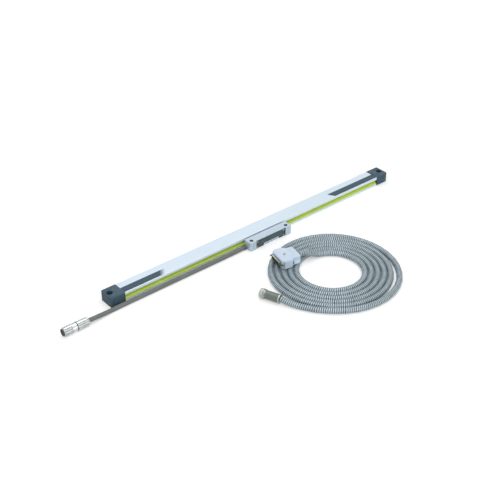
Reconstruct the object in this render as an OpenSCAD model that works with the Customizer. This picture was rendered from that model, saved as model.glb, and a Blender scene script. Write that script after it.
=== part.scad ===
// Sealed linear glass scale: a slim extruded housing with end blocks and lip seals, a reading
// head that slides along its front with a round plug on its lead, and a loose armoured
// extension cable with a 15-way D plug and a round line socket.
// Millimetres, +Z up. X runs along the scale, -Y is the side that the reading head is on.
// The origin is under the middle of the scale with its head, on the surface it lies on.

/* [Scale body] */
// Length over both end blocks
scale_length = 608; // [560:1:900]
// Depth of the end blocks, front to back
section_depth = 29; // [27:0.5:34]
// Height of the end blocks
section_height = 18; // [17.6:0.1:21]
// Length of one end block
cap_length = 26; // [24:0.5:34]
// How far the end blocks stand proud of the extrusion
cap_proud = 0.6; // [0.4:0.1:1]
// Wall of the extrusion
wall = 2; // [1.6:0.1:2.2]
// Rounding of the extrusion's long edges
edge_r = 1.2; // [0.6:0.1:1.5]
// Rounding of the end blocks' outer corners
cap_corner_r = 3; // [1:0.5:4]
// Thickness of the gasket under an end block
gasket_t = 0.8; // [0.5:0.1:1.5]

/* [Slot and lip seals] */
// Height of the lower front lip of the extrusion
slot_low = 3.9; // [3.7:0.1:4.2]
// Height of the front slot
slot_height = 8.9; // [8.6:0.1:9.2]
// Depth of the solid front wall above and below the slot
front_wall = 7; // [6.8:0.1:7.4]
// Thickness of a sealing lip
lip_t = 1; // [0.7:0.1:1.3]
// Gap between a sealing lip and the blade
lip_clear = 0.15; // [0.1:0.05:0.3]

/* [End block holes] */
// Distance of a mounting hole from the end
mount_inset = 7.5; // [7:0.5:9]
// Bore of a mounting hole
mount_bore = 5.5; // [4.5:0.5:6.5]
// Counterbore of a mounting hole
mount_counterbore = 10; // [8.5:0.5:11]
// Depth of that counterbore
mount_counterbore_depth = 7; // [4:0.5:9]
// Bore of the air port
port_bore = 6.4; // [5:0.1:6.8]

/* [Glass] */
// Width of the glass strip
glass_width = 13; // [12:0.5:13.5]
// Thickness of the glass strip
glass_t = 3; // [2.6:0.1:3.2]
// How deep the glass sits in its groove
groove_depth = 3.5; // [2.5:0.5:3.5]
// Thickness of the elastic bond above the glass
bond_t = 0.4; // [0.3:0.1:0.6]

/* [Reading head] */
// Length of the head
head_length = 90; // [84:1:93]
// Running gap between the head and the end blocks' front plane
head_gap = 2.2; // [1:0.1:3]
// Depth of the head's end bosses
head_depth = 16.4; // [16:0.1:18]
// Height of the head
head_height = 16.2; // [15.8:0.1:17.4]
// Width of an end boss
boss_width = 12.5; // [11.5:0.5:15]
// Distance between the head's mounting holes
head_mount_pitch = 76; // [74:0.5:78]
// Bore of the head's mounting holes
head_mount_bore = 6.5; // [5.5:0.5:7]
// How far the cover lies behind the bosses' front
cover_recess = 1.4; // [0.8:0.1:2]
// Thickness of the front cover
cover_t = 1.6; // [1.2:0.1:2]
// Where the head stands along the scale, from the middle
head_rest = 3.5; // [-20:0.5:20]

/* [Scanning carriage] */
// Length of the carriage
carriage_length = 66; // [62:1:70]
// Outer diameter of a roller bearing
roller_d = 4.4; // [3.8:0.1:4.4]
// Width of a roller bearing
roller_w = 1.8; // [1.5:0.1:2]
// Diameter of a roller axle
axle_d = 1.5; // [1:0.1:2]
// Gap between a roller and the glass
roller_clear = 0.05; // [0.02:0.01:0.1]
// Thickness of the blade between the lips
blade_t = 1; // [0.8:0.1:1.2]
// Length of the blade
blade_length = 44; // [36:1:46]

/* [Head lead and plug] */
// Outer diameter of the head's lead
lead_d = 7; // [5.5:0.1:7.4]
// Diameter of the plug's sleeve
plug_d = 14.4; // [14:0.1:16]
// Length of the plug
plug_length = 44.4; // [43:0.1:52]

/* [Armoured cable] */
// Outer diameter of the armour
armour_d = 10; // [9:0.1:10.5]
// Distance between neighbouring turns
turn_pitch = 10.2; // [10:0.1:11]

/* [Line socket] */
// Diameter of the socket's coupling ring
socket_ring_d = 16.5; // [15:0.1:17]
// Diameter of the socket's barrel
socket_barrel_d = 14; // [13:0.1:14.6]
// Length of the socket
socket_length = 34.4; // [30:0.2:40]

/* [D plug] */
// Width of the hood at the flange
hood_width = 40; // [39.5:0.5:44]
// Width of the hood at the cable
hood_rear_width = 31; // [30:0.5:34]
// Length of the hood
hood_length = 35.5; // [34:0.5:42]
// Height of the hood
hood_height = 15; // [14.6:0.1:17]
// Distance between the jackscrews
jack_pitch = 33.3; // [33:0.1:34]

/* [Hidden] */
$fn = 48;
slide_fit = 0.05;   // radial running clearance of a pin in its bore
seat_gap = 0.2;     // gap between a piece and what it is seated on
cut = 1;            // how far a cutter runs past a face

// Section of the scale, Y from the end blocks' front plane
front_y = -(section_depth - head_gap - head_depth) / 2;
profile_depth = section_depth - 2 * cap_proud;
profile_height = section_height - cap_proud;
cavity_y = cap_proud + front_wall;
cavity_back = section_depth - cap_proud - wall;
cavity_top = profile_height - wall;
slot_mid = slot_low + slot_height / 2;
slot_top = slot_low + slot_height;
housing_length = scale_length - 2 * cap_length - 2 * gasket_t;

// Screw ports of the extrusion, as [y, z]
port_screw_d = 2.1;
port_wall = 1.1;
ports = [
    [cavity_y - 1.75, profile_height - 2.2],
    [cavity_y - 1.75, slot_low / 2],
    [cavity_back - 1.9, cavity_top - 1.7],
    [cavity_back - 1.9, wall + 1.7]
];
screw_head_d = 4.2;
screw_head_t = 1.6;
screw_shank_d = 2;
screw_length = cap_length + 8;

// Seal keys
key_y = cap_proud + 1.1;
key_w = 1.8;
key_t = 1.6;

// Glass
glass_back = cavity_back - seat_gap;
glass_front = glass_back - glass_width;
glass_low = slot_mid - glass_t / 2;
glass_top = glass_low + glass_t;
rib_t = 1.4;
glass_end = 8;
glass_length = housing_length - 2 * glass_end;

// End blocks
spigot_length = 5;
spigot_clear = 0.4;
air_port_x = cap_length / 2;
air_port_z = slot_mid - 1.5;
air_plug_t = 3.6;
air_passage_d = 2.4;

// Labels
label_t = 0.3;
label_depth = 12.6;
label_slant = 8;
label_left = 75;
label_right = 113;

// Head, X from its own middle, Y from the end blocks' front plane
head_rear = -head_gap;
head_front = -head_gap - head_depth;
cover_front = head_front + cover_recess;
cover_gasket_t = 0.4;
seat_y = cover_front + cover_t + cover_gasket_t;
cover_width = head_length - 2 * boss_width;
cover_margin = 0.25;
cover_foot = 0.4;
cover_top = head_height - 1;
notch_x = 2;
notch_width = 34;
notch_height = 4.8;
ledge_back = 0.5;
boss_corner_r = 1.5;
head_mount_y = head_front + 6.6;
pocket_length = cover_width - 12;
pocket_low = 3.6;
pocket_top = head_height - 2.8;
rear_wall = 4.8;
cover_screw_x = cover_width / 2 - 3.4;
cover_screw_z = [2.6, cover_top - 2.4];
cover_screw_d = 1.8;
cover_screw_head_d = 3.4;
blade_screw_x = 12;
blade_screw_d = 2.4;
blade_root = -head_gap - rear_wall - 2;

// Carriage, Y from the end blocks' front plane
carriage_y = cavity_y + 0.6;
carriage_back = cavity_back - groove_depth - 1.4;
carriage_gap = 0.6;
limb_low = wall + 0.5;
limb_top = cavity_top - 0.8;
roller_x = 26;
face_roller_y = carriage_back - 2.6;
mid_roller_y = glass_front + 0.2 + roller_w / 2;
face_roller_z = glass_low - roller_clear - roller_d / 2;
edge_roller_y = glass_front - roller_clear - roller_d / 2;
pocket_clear = 0.3;
axle_reach = 1.3;
web_back = glass_front - carriage_gap;
blade_tip = cavity_y - 0.2;
lens_d = 3;
lens_y = carriage_back - 3.2;
grating_length = 12;
board_length = 14;
wire_d = 0.8;
wire_x = 14;
lug_depth = 2;
wire_y = blade_tip - 0.4;
wire_z = slot_mid + 2;
lug_w = 3;

// Lead and plug
lead_y = -head_gap - 4.3;
lead_z = 4.3;
gland_d = 8.4;
gland_length = 5;
core_d = 3.5;
plug_x = -352.4;
plug_y = -16.8;
plug_z = plug_d / 2;
nut_length = 20;
ring_t = 1.2;
sleeve_length = plug_length - nut_length - ring_t - 1.2;
plug_smooth = 8;
plug_bore = 10.4;
flutes = 12;
lead_route = [
    [head_rest - head_length / 2 - gland_length, front_y + lead_y, lead_z],
    [-62, -11.8, 3.9], [-85, -12, lead_d / 2], [-140, -12.2, lead_d / 2],
    [-200, -12.4, lead_d / 2], [-260, -12.7, lead_d / 2], [-300, -13.1, lead_d / 2],
    [-320, -14.2, 4.2], [-338, -16, 6.2], [plug_x, plug_y, plug_z]
];

// Armoured cable
coil_outer = [22.5, -156.5];
coil_outer_r = 106.5;
coil_inner = [17.5, -151.5];
coil_inner_r = 50.5;
armour_r = armour_d / 2;

// D plug: its own frame has +X towards the cable and Z from the middle of the hood
hood_place = [-40.4, -88.9, armour_d + seat_gap + hood_height / 2];
hood_turn = -12.7;
hood_wall = 1.6;
shoulder_x = 18;
shoulder_end = 22;
rear_chamfer = 2;
split_gap = 0.05;
flange_t = 0.8;
flange_width = 39.2;
flange_height = 12.5;
shell_width = 25;
shell_height = 8.3;
shell_depth = 5.9;
shell_wall = 0.5;
shell_clear = 0.4;
flange_back = 2.4;    // how far the flange lies behind the hood's front
front_chamfer = 4;
insert_depth = 8;
contact_d = 1;
contact_pitch = 2.77;
contact_row = 1.42;
ferrule_length = 5.5;
jack_d = 2.8;
jack_knob_d = 5.2;
jack_knob_length = 7;
hood_screw_x = 13;
hood_screw_y = 15.6;

// Line socket: its own frame has +X towards its mouth
socket_rear = [-96.6, -161.4, socket_ring_d / 2];
socket_turn = 111.2;
socket_end_ring = 2.2;
socket_ring_length = 8.4;
socket_groove = 1.2;
socket_mouth_d = 12.4;
socket_mouth_depth = 7.4;
socket_insert_t = 3;

armour_head = [
    [-0.4, -97.9, hood_place[2]], [9, -100, 17.2], [18, -102.6, 13.6],
    [27, -104.6, 9], [36, -107, 6], [45.1, -110.4, armour_r]
];
armour_tail = [
    [-67.9, -215.1, armour_r], [-76, -203, armour_r], [-83, -191.4, armour_r],
    [-89.6, -178.8, 5.8], [-94.3, -168, 7.6], socket_rear
];

// ---- Shared shapes ----

// Rectangle with its corner at the origin and round corners
module round_rect(w, h, r) {
    translate([r, 0]) square([w - 2 * r, h]);
    translate([0, r]) square([w, h - 2 * r]);
    for (x = [r, w - r], y = [r, h - r]) translate([x, y]) circle(r);
}

// Extrudes a [y, z] outline along X, from x = 0
module along_x(length) rotate([90, 0, 90]) linear_extrude(length) children();

// Extrudes an [x, z] outline towards +Y, from y = 0
module along_y(length) translate([0, length, 0]) rotate([90, 0, 0]) linear_extrude(length) children();

// Cylinder along X, from x = 0
module rod_x(d, length) rotate([0, 90, 0]) cylinder(d = d, h = length);

// Cylinder along Y, from y = 0
module rod_y(d, length) rotate([-90, 0, 0]) cylinder(d = d, h = length);

// Tube along X, from x = 0
module tube_x(outer_d, inner_d, length) rotate([0, 90, 0]) linear_extrude(length) difference() {
    circle(d = outer_d);
    circle(d = inner_d);
}

// Outline of a grip: a round with flutes cut along it
module fluted(d, depth, count) difference() {
    circle(d = d);
    for (i = [0 : count - 1]) rotate(i * 360 / count) translate([d / 2 + depth, 0]) circle(2 * depth);
}

// Places its children at both ends of the scale, with X measured outwards from an inner face
module at_end(side) mirror([side < 0 ? 1 : 0, 0, 0])
    translate([scale_length / 2 - cap_length, front_y, 0]) children();

// Puts the head's own frame in place
module on_head() translate([head_rest, front_y, 0]) children();

// ---- Swept tube ----

function unit(v) = v / norm(v);
function through(a, b, c, d, t) = 0.5 * (2 * b + (c - a) * t + (2 * a - 5 * b + 4 * c - d) * t * t
    + (3 * b - a - 3 * c + d) * t * t * t);
function clamped(p, i) = p[max(0, min(len(p) - 1, i))];
function smooth_line(p, steps) = concat(
    [for (i = [0 : len(p) - 2], k = [0 : steps - 1])
        through(clamped(p, i - 1), p[i], p[i + 1], clamped(p, i + 2), k / steps)],
    [p[len(p) - 1]]);
function ring_at(line, i, r, sides) =
    let (t = unit(clamped(line, i + 1) - clamped(line, i - 1)),
         side = unit(cross(t, [0, 0, 1])), up = cross(side, t))
    [for (k = [0 : sides - 1]) line[i] + r * (cos(360 * k / sides) * side + sin(360 * k / sides) * up)];

// Sweeps a round tube along a line of points
module swept(line, d, sides = 10) {
    n = len(line);
    points = [for (i = [0 : n - 1], p = ring_at(line, i, d / 2, sides)) p];
    walls = [for (i = [0 : n - 2], k = [0 : sides - 1])
        [i * sides + k, (i + 1) * sides + k, (i + 1) * sides + (k + 1) % sides, i * sides + (k + 1) % sides]];
    near_end = [for (k = [0 : sides - 1]) k];
    far_end = [for (k = [sides - 1 : -1 : 0]) (n - 1) * sides + k];
    polyhedron(points, concat(walls, [near_end, far_end]));
}

// ---- Scale body ----

module housing_section() {
    difference() {
        translate([cap_proud, 0]) round_rect(profile_depth, profile_height, edge_r);
        translate([cavity_y, wall]) square([cavity_back - cavity_y, cavity_top - wall]);
        translate([0, slot_low]) square([cavity_y + cut, slot_height]);
        translate([key_y, slot_low - key_t]) square([key_w, slot_height + 2 * key_t]);
        for (p = [ports[0], ports[1]]) translate(p) circle(d = port_screw_d);
    }
    for (z = [glass_low - rib_t, glass_top + bond_t])
        translate([cavity_back - groove_depth, z]) square([groove_depth + wall / 2, rib_t]);
    for (p = [ports[2], ports[3]]) difference() {
        intersection() {
            translate(p) circle(d = port_screw_d + 2 * port_wall);
            translate([cavity_y, wall / 2]) square([cavity_back - cavity_y + wall / 2, profile_height - wall]);
        }
        translate(p) circle(d = port_screw_d);
    }
}

module scale_housing() color([0.80, 0.84, 0.88])
    translate([-housing_length / 2, front_y, 0]) along_x(housing_length) housing_section();

module cap_block() intersection() {
    along_x(cap_length) round_rect(section_depth, section_height, edge_r + cap_proud);
    linear_extrude(section_height) {
        square([cap_length - cap_corner_r, section_depth]);
        translate([cap_corner_r, 0]) round_rect(cap_length - cap_corner_r, section_depth, cap_corner_r);
    }
}

module end_cap() difference() {
    union() {
        cap_block();
        translate([-gasket_t - spigot_length, cavity_y + spigot_clear, wall + spigot_clear])
            cube([gasket_t + spigot_length + cut, carriage_back - cavity_y - spigot_clear,
                  cavity_top - wall - 2 * spigot_clear]);
    }
    translate([cap_length - mount_inset, section_depth / 2, -cut])
        cylinder(d = mount_bore, h = section_height + 2 * cut);
    translate([cap_length - mount_inset, section_depth / 2, section_height - mount_counterbore_depth])
        cylinder(d = mount_counterbore, h = mount_counterbore_depth + cut);
    for (p = ports) translate([0, p[0], p[1]]) {
        translate([-cut, 0, 0]) rod_x(screw_shank_d + 0.4, cap_length + 2 * cut);
        translate([cap_length - screw_head_t - 0.4, 0, 0]) rod_x(screw_head_d + 0.4, screw_head_t + cut);
    }
    translate([air_port_x, -cut, air_port_z]) rod_y(port_bore, air_plug_t + 1 + cut);
    translate([air_port_x, 0, air_port_z]) rod_y(air_passage_d, cavity_y + 3);
    translate([-gasket_t - spigot_length - cut, cavity_y + 3 - air_passage_d / 2, air_port_z])
        rod_x(air_passage_d, gasket_t + spigot_length + air_port_x + cut);
}

module end_cap_left() color([0.20, 0.25, 0.31]) at_end(-1) end_cap();
module end_cap_right() color([0.20, 0.25, 0.31]) at_end(1) end_cap();

module end_gasket() translate([-gasket_t, 0, 0]) along_x(gasket_t) difference() {
    translate([cap_proud + 0.3, 0.3]) round_rect(profile_depth - 0.6, profile_height - 0.6, edge_r);
    translate([cavity_y, wall]) square([carriage_back - cavity_y + spigot_clear, cavity_top - wall]);
    for (p = ports) translate(p) circle(d = screw_shank_d + 0.4);
}

module end_gasket_left() color([0.08, 0.08, 0.08]) at_end(-1) end_gasket();
module end_gasket_right() color([0.08, 0.08, 0.08]) at_end(1) end_gasket();

module cap_screw() {
    rod_x(screw_shank_d, screw_length);
    translate([screw_length, 0, 0]) difference() {
        rod_x(screw_head_d, screw_head_t);
        translate([screw_head_t - 0.8, 0, 0]) rotate([0, 90, 0]) cylinder(d = 2, h = cut + 0.8, $fn = 6);
    }
}

module end_cap_screws() color([0.55, 0.56, 0.58]) for (side = [-1, 1], p = ports) at_end(side)
    translate([cap_length - screw_head_t - 0.4 - screw_length, p[0], p[1]]) cap_screw();

module glass_scale() color([0.62, 0.75, 0.72])
    translate([-glass_length / 2, front_y + glass_front, glass_low]) cube([glass_length, glass_width, glass_t]);

module glass_bond_strip() color([0.85, 0.85, 0.80])
    translate([-glass_length / 2, front_y + cavity_back - groove_depth, glass_top])
        cube([glass_length, groove_depth - seat_gap, bond_t]);

// Section of the upper seal: a key in the groove, a base strip and a lip that slopes inwards
module lip_section() {
    tip = blade_t / 2 + lip_clear;
    half = slot_height / 2;
    translate([key_y + seat_gap / 4, half - cut / 2]) square([key_w - seat_gap / 2, key_t + cut / 2 - seat_gap / 2]);
    polygon([[cap_proud + 0.3, half], [cap_proud + 0.3, half - lip_t], [cavity_y - 2.6, tip],
             [cavity_y - 1.7, tip], [cavity_y - 1.7, tip + 0.5 * lip_t],
             [key_y + key_w / 2, half - lip_t], [cavity_y - 2.4, half - lip_t], [cavity_y - 2.4, half]]);
}

module lip_seal(up) translate([-housing_length / 2, front_y, slot_mid])
    mirror([0, 0, up ? 0 : 1]) along_x(housing_length) lip_section();

module upper_lip_seal() color([0.67, 0.76, 0.27]) lip_seal(true);
module lower_lip_seal() color([0.67, 0.76, 0.27]) lip_seal(false);

module air_plug() translate([air_port_x, 0.4, air_port_z]) difference() {
    rod_y(port_bore - 2 * slide_fit, air_plug_t);
    translate([-0.5, -cut, -port_bore / 2]) cube([1, cut + 0.9, port_bore]);
}

module air_port_plugs() color([0.13, 0.15, 0.18]) for (side = [-1, 1]) at_end(side) air_plug();

// A label with one slanted end, X from the end block's face towards the middle
module label_outline(length) polygon([[0, 0], [length - label_slant, 0], [length, label_depth], [0, label_depth]]);

module label_strip_left() color([0.20, 0.26, 0.33])
    translate([-scale_length / 2 + cap_length + 0.3, front_y + cap_proud + edge_r, profile_height])
        linear_extrude(label_t) label_outline(label_left);

module label_strip_right() color([0.20, 0.26, 0.33])
    translate([scale_length / 2 - cap_length - 0.3, front_y + cap_proud + edge_r, profile_height])
        mirror([1, 0, 0]) linear_extrude(label_t) label_outline(label_right);

// ---- Reading head ----

module boss_outline() translate([0, head_front]) difference() {
    square([boss_width, head_depth]);
    difference() {
        translate([-cut, -cut]) square(boss_corner_r + cut);
        translate([boss_corner_r, boss_corner_r]) circle(boss_corner_r);
    }
}

module head_outline() {
    for (side = [0, 1]) mirror([side, 0]) translate([-head_length / 2, 0]) boss_outline();
    translate([-head_length / 2 + boss_width / 2, seat_y]) square([head_length - boss_width, head_rear - seat_y]);
}

module cover_holes(d) for (x = [-1, 1], z = cover_screw_z) translate([x * cover_screw_x, z]) circle(d = d);

module head_housing() color([0.78, 0.82, 0.86]) on_head() difference() {
    union() {
        linear_extrude(head_height) head_outline();
        // ledge that closes the notch of the cover
        translate([notch_x - notch_width / 2 + cover_margin, cover_front + ledge_back, 0])
            cube([notch_width - 2 * cover_margin, seat_y - cover_front, notch_height - cover_margin]);
        // brow over the cover
        translate([-cover_width / 2 - cut, cover_front, cover_top + cover_margin])
            cube([cover_width + 2 * cut, seat_y - cover_front + cut, head_height - cover_top - cover_margin]);
    }
    // electronics pocket, open to the front
    translate([-pocket_length / 2, seat_y - cut, pocket_low])
        cube([pocket_length, -head_gap - rear_wall - seat_y + cut, pocket_top - pocket_low]);
    // slot for the blade through the rear wall
    translate([-blade_length / 2 - seat_gap, -head_gap - rear_wall - cut, slot_mid - blade_t / 2 - slide_fit])
        cube([blade_length + 2 * seat_gap, rear_wall + 2 * cut, blade_t + 2 * slide_fit]);
    for (side = [-1, 1]) {
        translate([side * head_mount_pitch / 2, head_mount_y, -cut])
            cylinder(d = head_mount_bore, h = head_height + 2 * cut);
        translate([side * blade_screw_x, head_rear - rear_wall / 2, -cut])
            cylinder(d = blade_screw_d + 2 * slide_fit, h = slot_mid + 3 + cut);
        translate([side * blade_screw_x, head_rear - rear_wall / 2, -cut]) cylinder(d = 4.6, h = 2.2 + cut);
    }
    translate([0, seat_y - cut, 0]) along_y(4 + cut) cover_holes(cover_screw_d + 2 * slide_fit);
    // passage for the lead's core
    translate([-head_length / 2 - cut, lead_y, lead_z])
        rod_x(core_d + 2 * slide_fit, head_length / 2 - pocket_length / 2 + 2 * cut);
    // three shallow notches along the ledge
    for (x = [-9, 0, 9]) translate([notch_x + x - 1.5, cover_front - cut, -cut]) cube([3, 1.4 + cut, 1.8 + cut]);
}

// Front cover outline in X and Z: a plate with two legs beside a raised notch
module cover_outline(inset) difference() {
    translate([-cover_width / 2 + inset, cover_foot])
        round_rect(cover_width - 2 * inset, cover_top - cover_foot, 1);
    translate([notch_x - notch_width / 2, -cut]) square([notch_width, notch_height + cut]);
}

module head_cover() color([0.24, 0.29, 0.33]) on_head() difference() {
    translate([0, cover_front, 0]) along_y(cover_t) cover_outline(cover_margin);
    translate([0, cover_front - cut, 0]) along_y(cover_t + 2 * cut) cover_holes(cover_screw_d + 0.4);
    translate([0, cover_front - cut, 0]) along_y(0.9 + cut) cover_holes(cover_screw_head_d + 0.3);
}

module cover_gasket() color([0.07, 0.07, 0.07]) on_head() translate([0, cover_front + cover_t, 0])
    along_y(cover_gasket_t) difference() {
        cover_outline(cover_margin + 0.3);
        translate([-pocket_length / 2, pocket_low + 1.6]) square([pocket_length, pocket_top - pocket_low - 1.6]);
        cover_holes(cover_screw_d + 0.4);
    }

module cover_screw() {
    rod_y(cover_screw_head_d, 0.8);
    rod_y(cover_screw_d, cover_t + cover_gasket_t + 3.4);
}

module cover_screws() color([0.60, 0.62, 0.64]) on_head()
    for (x = [-1, 1], z = cover_screw_z) translate([x * cover_screw_x, cover_front + 0.1, z]) difference() {
        cover_screw();
        translate([-1.1, -cut, -0.25]) cube([2.2, cut + 0.4, 0.5]);
        translate([-0.25, -cut, -1.1]) cube([0.5, cut + 0.4, 2.2]);
    }

// The blade is pointed at both ends where it parts the lips
module blade_outline() difference() {
    union() {
        translate([-blade_length / 2, blade_root]) square([blade_length, -head_gap - blade_root]);
        polygon([[-blade_length / 2, -head_gap], [blade_length / 2, -head_gap], [blade_length / 2, 0],
                 [blade_length / 2 - 5, cavity_y - 2], [blade_length / 2 - 5, blade_tip],
                 [-blade_length / 2 + 5, blade_tip], [-blade_length / 2 + 5, cavity_y - 2],
                 [-blade_length / 2, 0]]);
    }
    for (side = [-1, 1]) translate([side * blade_screw_x, head_rear - rear_wall / 2])
        circle(d = blade_screw_d + 2 * slide_fit);
}

module drive_blade() color([0.66, 0.68, 0.70]) on_head() difference() {
    union() {
        translate([0, 0, slot_mid - blade_t / 2]) linear_extrude(blade_t) blade_outline();
        translate([-wire_x - lug_w / 2, wire_y - lug_depth / 2, slot_mid])
            cube([lug_w, lug_depth, wire_z + 1.2 - slot_mid]);
    }
    translate([-wire_x - lug_w, wire_y, wire_z]) rod_x(wire_d + 2 * slide_fit, 2 * lug_w);
}

module blade_screws() color([0.55, 0.56, 0.58]) on_head() for (side = [-1, 1])
    translate([side * blade_screw_x, head_rear - rear_wall / 2, 0.5]) {
        cylinder(d = 4.4, h = 1.6);
        cylinder(d = blade_screw_d, h = slot_mid + 2);
    }

module coupling_wire() color([0.70, 0.70, 0.68]) on_head()
    translate([-wire_x - lug_w / 2, wire_y, wire_z]) rod_x(wire_d, 2 * wire_x + lug_w);

// Axle of a roller on the glass's lower face, along Y, or on its front edge, along Z
module face_axle_at(x, y) translate([x, y, face_roller_z]) children();
module edge_axle_at(x) translate([x, edge_roller_y, slot_mid]) children();

module roller_pocket_y() translate([-roller_d / 2 - pocket_clear, -roller_w / 2 - pocket_clear, -roller_d / 2 - cut])
    cube([roller_d + 2 * pocket_clear, roller_w + 2 * pocket_clear, roller_d + 3 * cut]);

module scanning_carriage() color([0.72, 0.66, 0.45]) on_head() difference() {
    translate([-carriage_length / 2, 0, 0]) {
        translate([0, carriage_y, limb_low])
            cube([carriage_length, carriage_back - carriage_y, glass_low - carriage_gap - limb_low]);
        translate([0, carriage_y, glass_top + carriage_gap])
            cube([carriage_length, carriage_back - carriage_y, limb_top - glass_top - carriage_gap]);
        translate([0, carriage_y, limb_low]) cube([carriage_length, web_back - carriage_y, limb_top - limb_low]);
        translate([carriage_length / 2 + wire_x - lug_w / 2, wire_y - lug_depth / 2, wire_z - 1.2])
            cube([lug_w, carriage_y - wire_y + lug_depth / 2 + cut, 2.4]);
    }
    translate([wire_x - lug_w, wire_y, wire_z]) rod_x(wire_d + 2 * slide_fit, 2 * lug_w);
    for (p = [[-roller_x, face_roller_y], [0, mid_roller_y], [roller_x, face_roller_y]]) face_axle_at(p[0], p[1]) {
        roller_pocket_y();
        translate([0, -roller_w / 2 - axle_reach, 0]) rod_y(axle_d + 2 * slide_fit, roller_w + 2 * axle_reach);
    }
    for (x = [-roller_x, roller_x]) edge_axle_at(x) {
        translate([-roller_d / 2 - pocket_clear, -roller_d / 2 - pocket_clear, -roller_w / 2 - pocket_clear])
            cube([roller_d + 2 * pocket_clear, roller_d + cut, roller_w + 2 * pocket_clear]);
        translate([0, 0, -roller_w / 2 - axle_reach])
            cylinder(d = axle_d + 2 * slide_fit, h = roller_w + 2 * axle_reach);
    }
    // seats of the lens, the grating and the photocell board
    translate([0, lens_y, limb_low - cut]) cylinder(d = lens_d + 2 * slide_fit, h = 9);
    translate([-grating_length / 2 - seat_gap, lens_y - 3.2, glass_top])
        cube([grating_length + 2 * seat_gap, 6.4, 2.2]);
    translate([-board_length / 2 - seat_gap, lens_y - 3.2, glass_top + 3])
        cube([board_length + 2 * seat_gap, 6.4, 4]);
}

module roller_axles() color([0.50, 0.50, 0.52]) on_head() {
    for (p = [[-roller_x, face_roller_y], [0, mid_roller_y], [roller_x, face_roller_y]]) face_axle_at(p[0], p[1])
        translate([0, -roller_w / 2 - axle_reach + slide_fit, 0]) rod_y(axle_d, roller_w + 2 * axle_reach - 2 * slide_fit);
    for (x = [-roller_x, roller_x]) edge_axle_at(x)
        translate([0, 0, -roller_w / 2 - axle_reach + slide_fit])
            cylinder(d = axle_d, h = roller_w + 2 * axle_reach - 2 * slide_fit);
}

// A small ball bearing with shallow shield recesses, its axis along Z
module roller() rotate_extrude() difference() {
    translate([axle_d / 2 + slide_fit, -roller_w / 2]) square([roller_d / 2 - axle_d / 2 - slide_fit, roller_w]);
    for (z = [-roller_w / 2, roller_w / 2]) translate([axle_d / 2 + 0.35, z - 0.15]) square([0.6, 0.3]);
}

module face_roller(x, y) color([0.75, 0.76, 0.78]) on_head() face_axle_at(x, y) rotate([90, 0, 0]) roller();
module edge_roller(x) color([0.75, 0.76, 0.78]) on_head() edge_axle_at(x) roller();
module face_roller_left() face_roller(-roller_x, face_roller_y);
module face_roller_mid() face_roller(0, mid_roller_y);
module face_roller_right() face_roller(roller_x, face_roller_y);
module edge_roller_left() edge_roller(-roller_x);
module edge_roller_right() edge_roller(roller_x);

module lamp_lens() color([0.85, 0.88, 0.90]) on_head() translate([0, lens_y, limb_low]) {
    cylinder(d = lens_d, h = 2);
    translate([0, 0, 2]) cylinder(d1 = lens_d, d2 = lens_d - 1.2, h = 0.8);
}

module index_grating() color([0.70, 0.78, 0.75]) on_head()
    translate([-grating_length / 2, lens_y - 3, glass_top + 0.4]) cube([grating_length, 6, 1.7]);

module photocell_board() color([0.15, 0.35, 0.22]) on_head()
    translate([-board_length / 2, lens_y - 3, glass_top + 3.1]) {
        cube([board_length, 6, 0.8]);
        for (x = [1.5, 5, 8.5]) translate([x, 1.5, 0]) cube([2.6, 3, 1.5]);
    }

module head_circuit_board() color([0.10, 0.32, 0.20]) on_head()
    translate([-pocket_length / 2 + 1, seat_y + 1, pocket_low + 0.2]) {
        cube([pocket_length - 2, 1.2, pocket_top - pocket_low - 1]);
        for (i = [0 : 2]) translate([(i + 0.4) * pocket_length / 3.6, 1, 2]) cube([7, 1.4, 4]);
    }

module cable_gland() color([0.30, 0.32, 0.34]) on_head() translate([-head_length / 2, lead_y, lead_z]) {
    rotate([0, -90, 0]) difference() {
        cylinder(d = gland_d, h = gland_length);
        for (z = [1.2, 3]) translate([0, 0, z]) rotate_extrude() translate([gland_d / 2 - 0.5, 0]) square([1, 0.8]);
    }
    rod_x(core_d, 6);
}

module head_lead() color([0.52, 0.54, 0.56]) swept(smooth_line(lead_route, 4), lead_d, 10);

// ---- Round plug on the head's lead, X from its cable end towards its face along -X ----

module on_plug() translate([plug_x, plug_y, plug_z]) mirror([1, 0, 0]) children();

module plug_back_nut() color([0.80, 0.82, 0.83]) on_plug() difference() {
    union() {
        rotate([0, 90, 0]) cylinder(d1 = plug_d - 3, d2 = plug_d - 0.8, h = 2);
        translate([2, 0, 0]) rotate([0, 90, 0]) linear_extrude(nut_length - 2) fluted(plug_d - 0.5, 0.5, flutes);
    }
    translate([5, 0, 0]) rod_x(plug_bore, nut_length);
}

module plug_seal_ring() color([0.06, 0.06, 0.06]) on_plug() translate([nut_length, 0, 0])
    tube_x(plug_d, plug_bore, ring_t);

module plug_core() color([0.75, 0.77, 0.78]) on_plug() translate([5 + seat_gap, 0, 0])
    tube_x(plug_bore - 2 * slide_fit, plug_bore - 2, plug_length - 5 - 1.6);

module plug_insert() color([0.10, 0.10, 0.11]) on_plug() {
    translate([plug_length - 9, 0, 0]) difference() {
        rod_x(plug_bore - 2 - 2 * slide_fit, 8.2);
        for (i = [0 : 11]) rotate([i * 30, 0, 0]) translate([6, 3, 0]) rod_x(0.8, 3);
    }
    translate([plug_length - 1.2, 0, 0]) tube_x(plug_bore + 1.2, plug_bore - 2, 1.2);
}

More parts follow.
